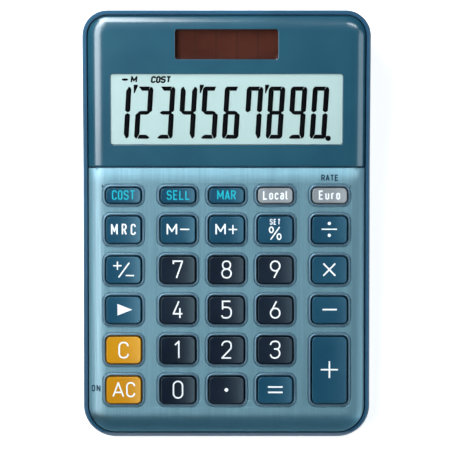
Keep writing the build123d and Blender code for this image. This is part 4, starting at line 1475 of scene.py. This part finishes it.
innerFinish = {
    "solar_window": "window",
    "lcd_front_glass": "glass", "lcd_rear_glass": "glass", "lcd_reflector": "crystal",
    "lcd_frame": "framePlastic", "lcd_ribbon": "ribbonFilm", "solar_cell": "solar",
    "solar_lead_left": "leadSkin", "solar_lead_right": "leadSkin", "main_board": "board",
    "chip_cover": "chip", "capacitor": "can", "battery_cell": "cell", "battery_clip_negative": "clip",
    "battery_clip_positive": "clip", "board_screws": "screw",
}
for node, finish in innerFinish.items():
    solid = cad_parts[node]
    for place in solid.material_slots:
        place.material = materials[finish]
print("inner pieces:", len(innerFinish))

# floor, lights and camera

def pathShare(tree, kinds):
    path = tree.nodes.new("ShaderNodeLightPath")
    share = path.outputs[kinds[0]]
    for kind in kinds[1:]:
        share = addMath(tree, "MAXIMUM", share, path.outputs[kind])
    return share


floorLook = {"half": 4, "tone": 0.82, "glow": 0.72}


def makeFloor():
    half, tone = floorLook["half"], floorLook["tone"]
    mesh = bpy.data.meshes.new("floor")
    corners = [(-half, -half, 0), (half, -half, 0), (half, half, 0), (-half, half, 0)]
    mesh.from_pydata(corners, [], [(0, 1, 2, 3)])
    floor = bpy.data.objects.new("floor", mesh)
    bpy.context.scene.collection.objects.link(floor)
    material = bpy.data.materials.new("paleFloor")
    material.use_nodes = True
    tree = material.node_tree
    tree.nodes.clear()
    share = pathShare(tree, ("Is Camera Ray", "Is Glossy Ray", "Is Transmission Ray"))
    strength = addMath(tree, "MULTIPLY", share, floorLook["glow"])
    matt = addNode(tree, "ShaderNodeBsdfDiffuse", {"Color": (tone, tone, tone, 1)}).outputs[0]
    glow = addNode(tree, "ShaderNodeEmission", {"Strength": strength}).outputs[0]
    both = addNode(tree, "ShaderNodeAddShader", {0: matt, 1: glow}).outputs[0]
    below = tree.nodes.new("ShaderNodeNewGeometry").outputs["Backfacing"]
    clear = tree.nodes.new("ShaderNodeBsdfTransparent").outputs[0]
    swapped = addNode(tree, "ShaderNodeMixShader", {0: below, 1: both, 2: clear}).outputs[0]
    addNode(tree, "ShaderNodeOutputMaterial", {"Surface": swapped})
    mesh.materials.append(material)


def makeWorld():  # a low white wall all round, and a dim ceiling
    look = {"wallTop": 0.03, "fadeTop": 0.12, "ceiling": 0.02}
    world = bpy.data.worlds.new("studio")
    bpy.context.scene.world = world
    world.use_nodes = True
    tree = world.node_tree
    back = tree.nodes["Background"]
    feed(tree, (1, 1, 1, 1), back.inputs["Color"])
    up = axisPlace(tree, "Z", "Generated")
    strength = addRange(tree, up, look["wallTop"], look["fadeTop"], 1.0, look["ceiling"])
    feed(tree, strength, back.inputs["Strength"])


def addLamp(name, place, target, size, power, tint):
    light = bpy.data.lights.new(name, "AREA")
    light.shape = "RECTANGLE"
    light.size, light.size_y = size
    light.energy = power
    light.color = tint
    lamp = bpy.data.objects.new(name, light)
    bpy.context.scene.collection.objects.link(lamp)
    lamp.location = place
    lamp.rotation_euler = (Vector(target) - Vector(place)).to_track_quat("-Z", "Y").to_euler()
    lamp.visible_camera = False


makeFloor()
makeWorld()
cool = (0.865, 0.94, 0.985)
# place, target, size, watts and tint
lamps = {
    "leftSoftbox": ((-0.30, 0.04, 0.54), (0, 0.04, 0.02), (0.62, 0.25), 2.68, cool),
    "backSoftbox": ((-0.118, 0.235, 0.259), (-0.093, 0.074, 0.03), (0.17, 0.20), 1.0, cool),
    "topStripLeft": ((-0.25, 0.11, 0.50), (-0.25, 0.11, 0), (0.30, 0.12), 0.4, cool),
    "topStripRight": ((0.25, 0.115, 0.50), (0.25, 0.115, 0), (0.30, 0.11), 0.58, cool),
    "rightSoftbox": ((0.52, -0.26, 0.27), (0.03, 0, 0.02), (0.5, 0.5), 1.3, (0.72, 0.9, 1.0)),
}
for name, values in lamps.items():
    addLamp(name, *values)

cameraLook = {"lens": 330, "sensor_width": 36, "clip_start": 0.05, "clip_end": 20}
cameraHeight = 1.5
cameraData = bpy.data.cameras.new("camera")
for label, value in cameraLook.items():
    setattr(cameraData, label, value)
camera = bpy.data.objects.new("camera", cameraData)
bpy.context.scene.collection.objects.link(camera)
camera.location = (-caseShift * mm, 0.0, cameraHeight)
bpy.context.scene.camera = camera
bpy.context.scene.view_settings.view_transform = "Standard"
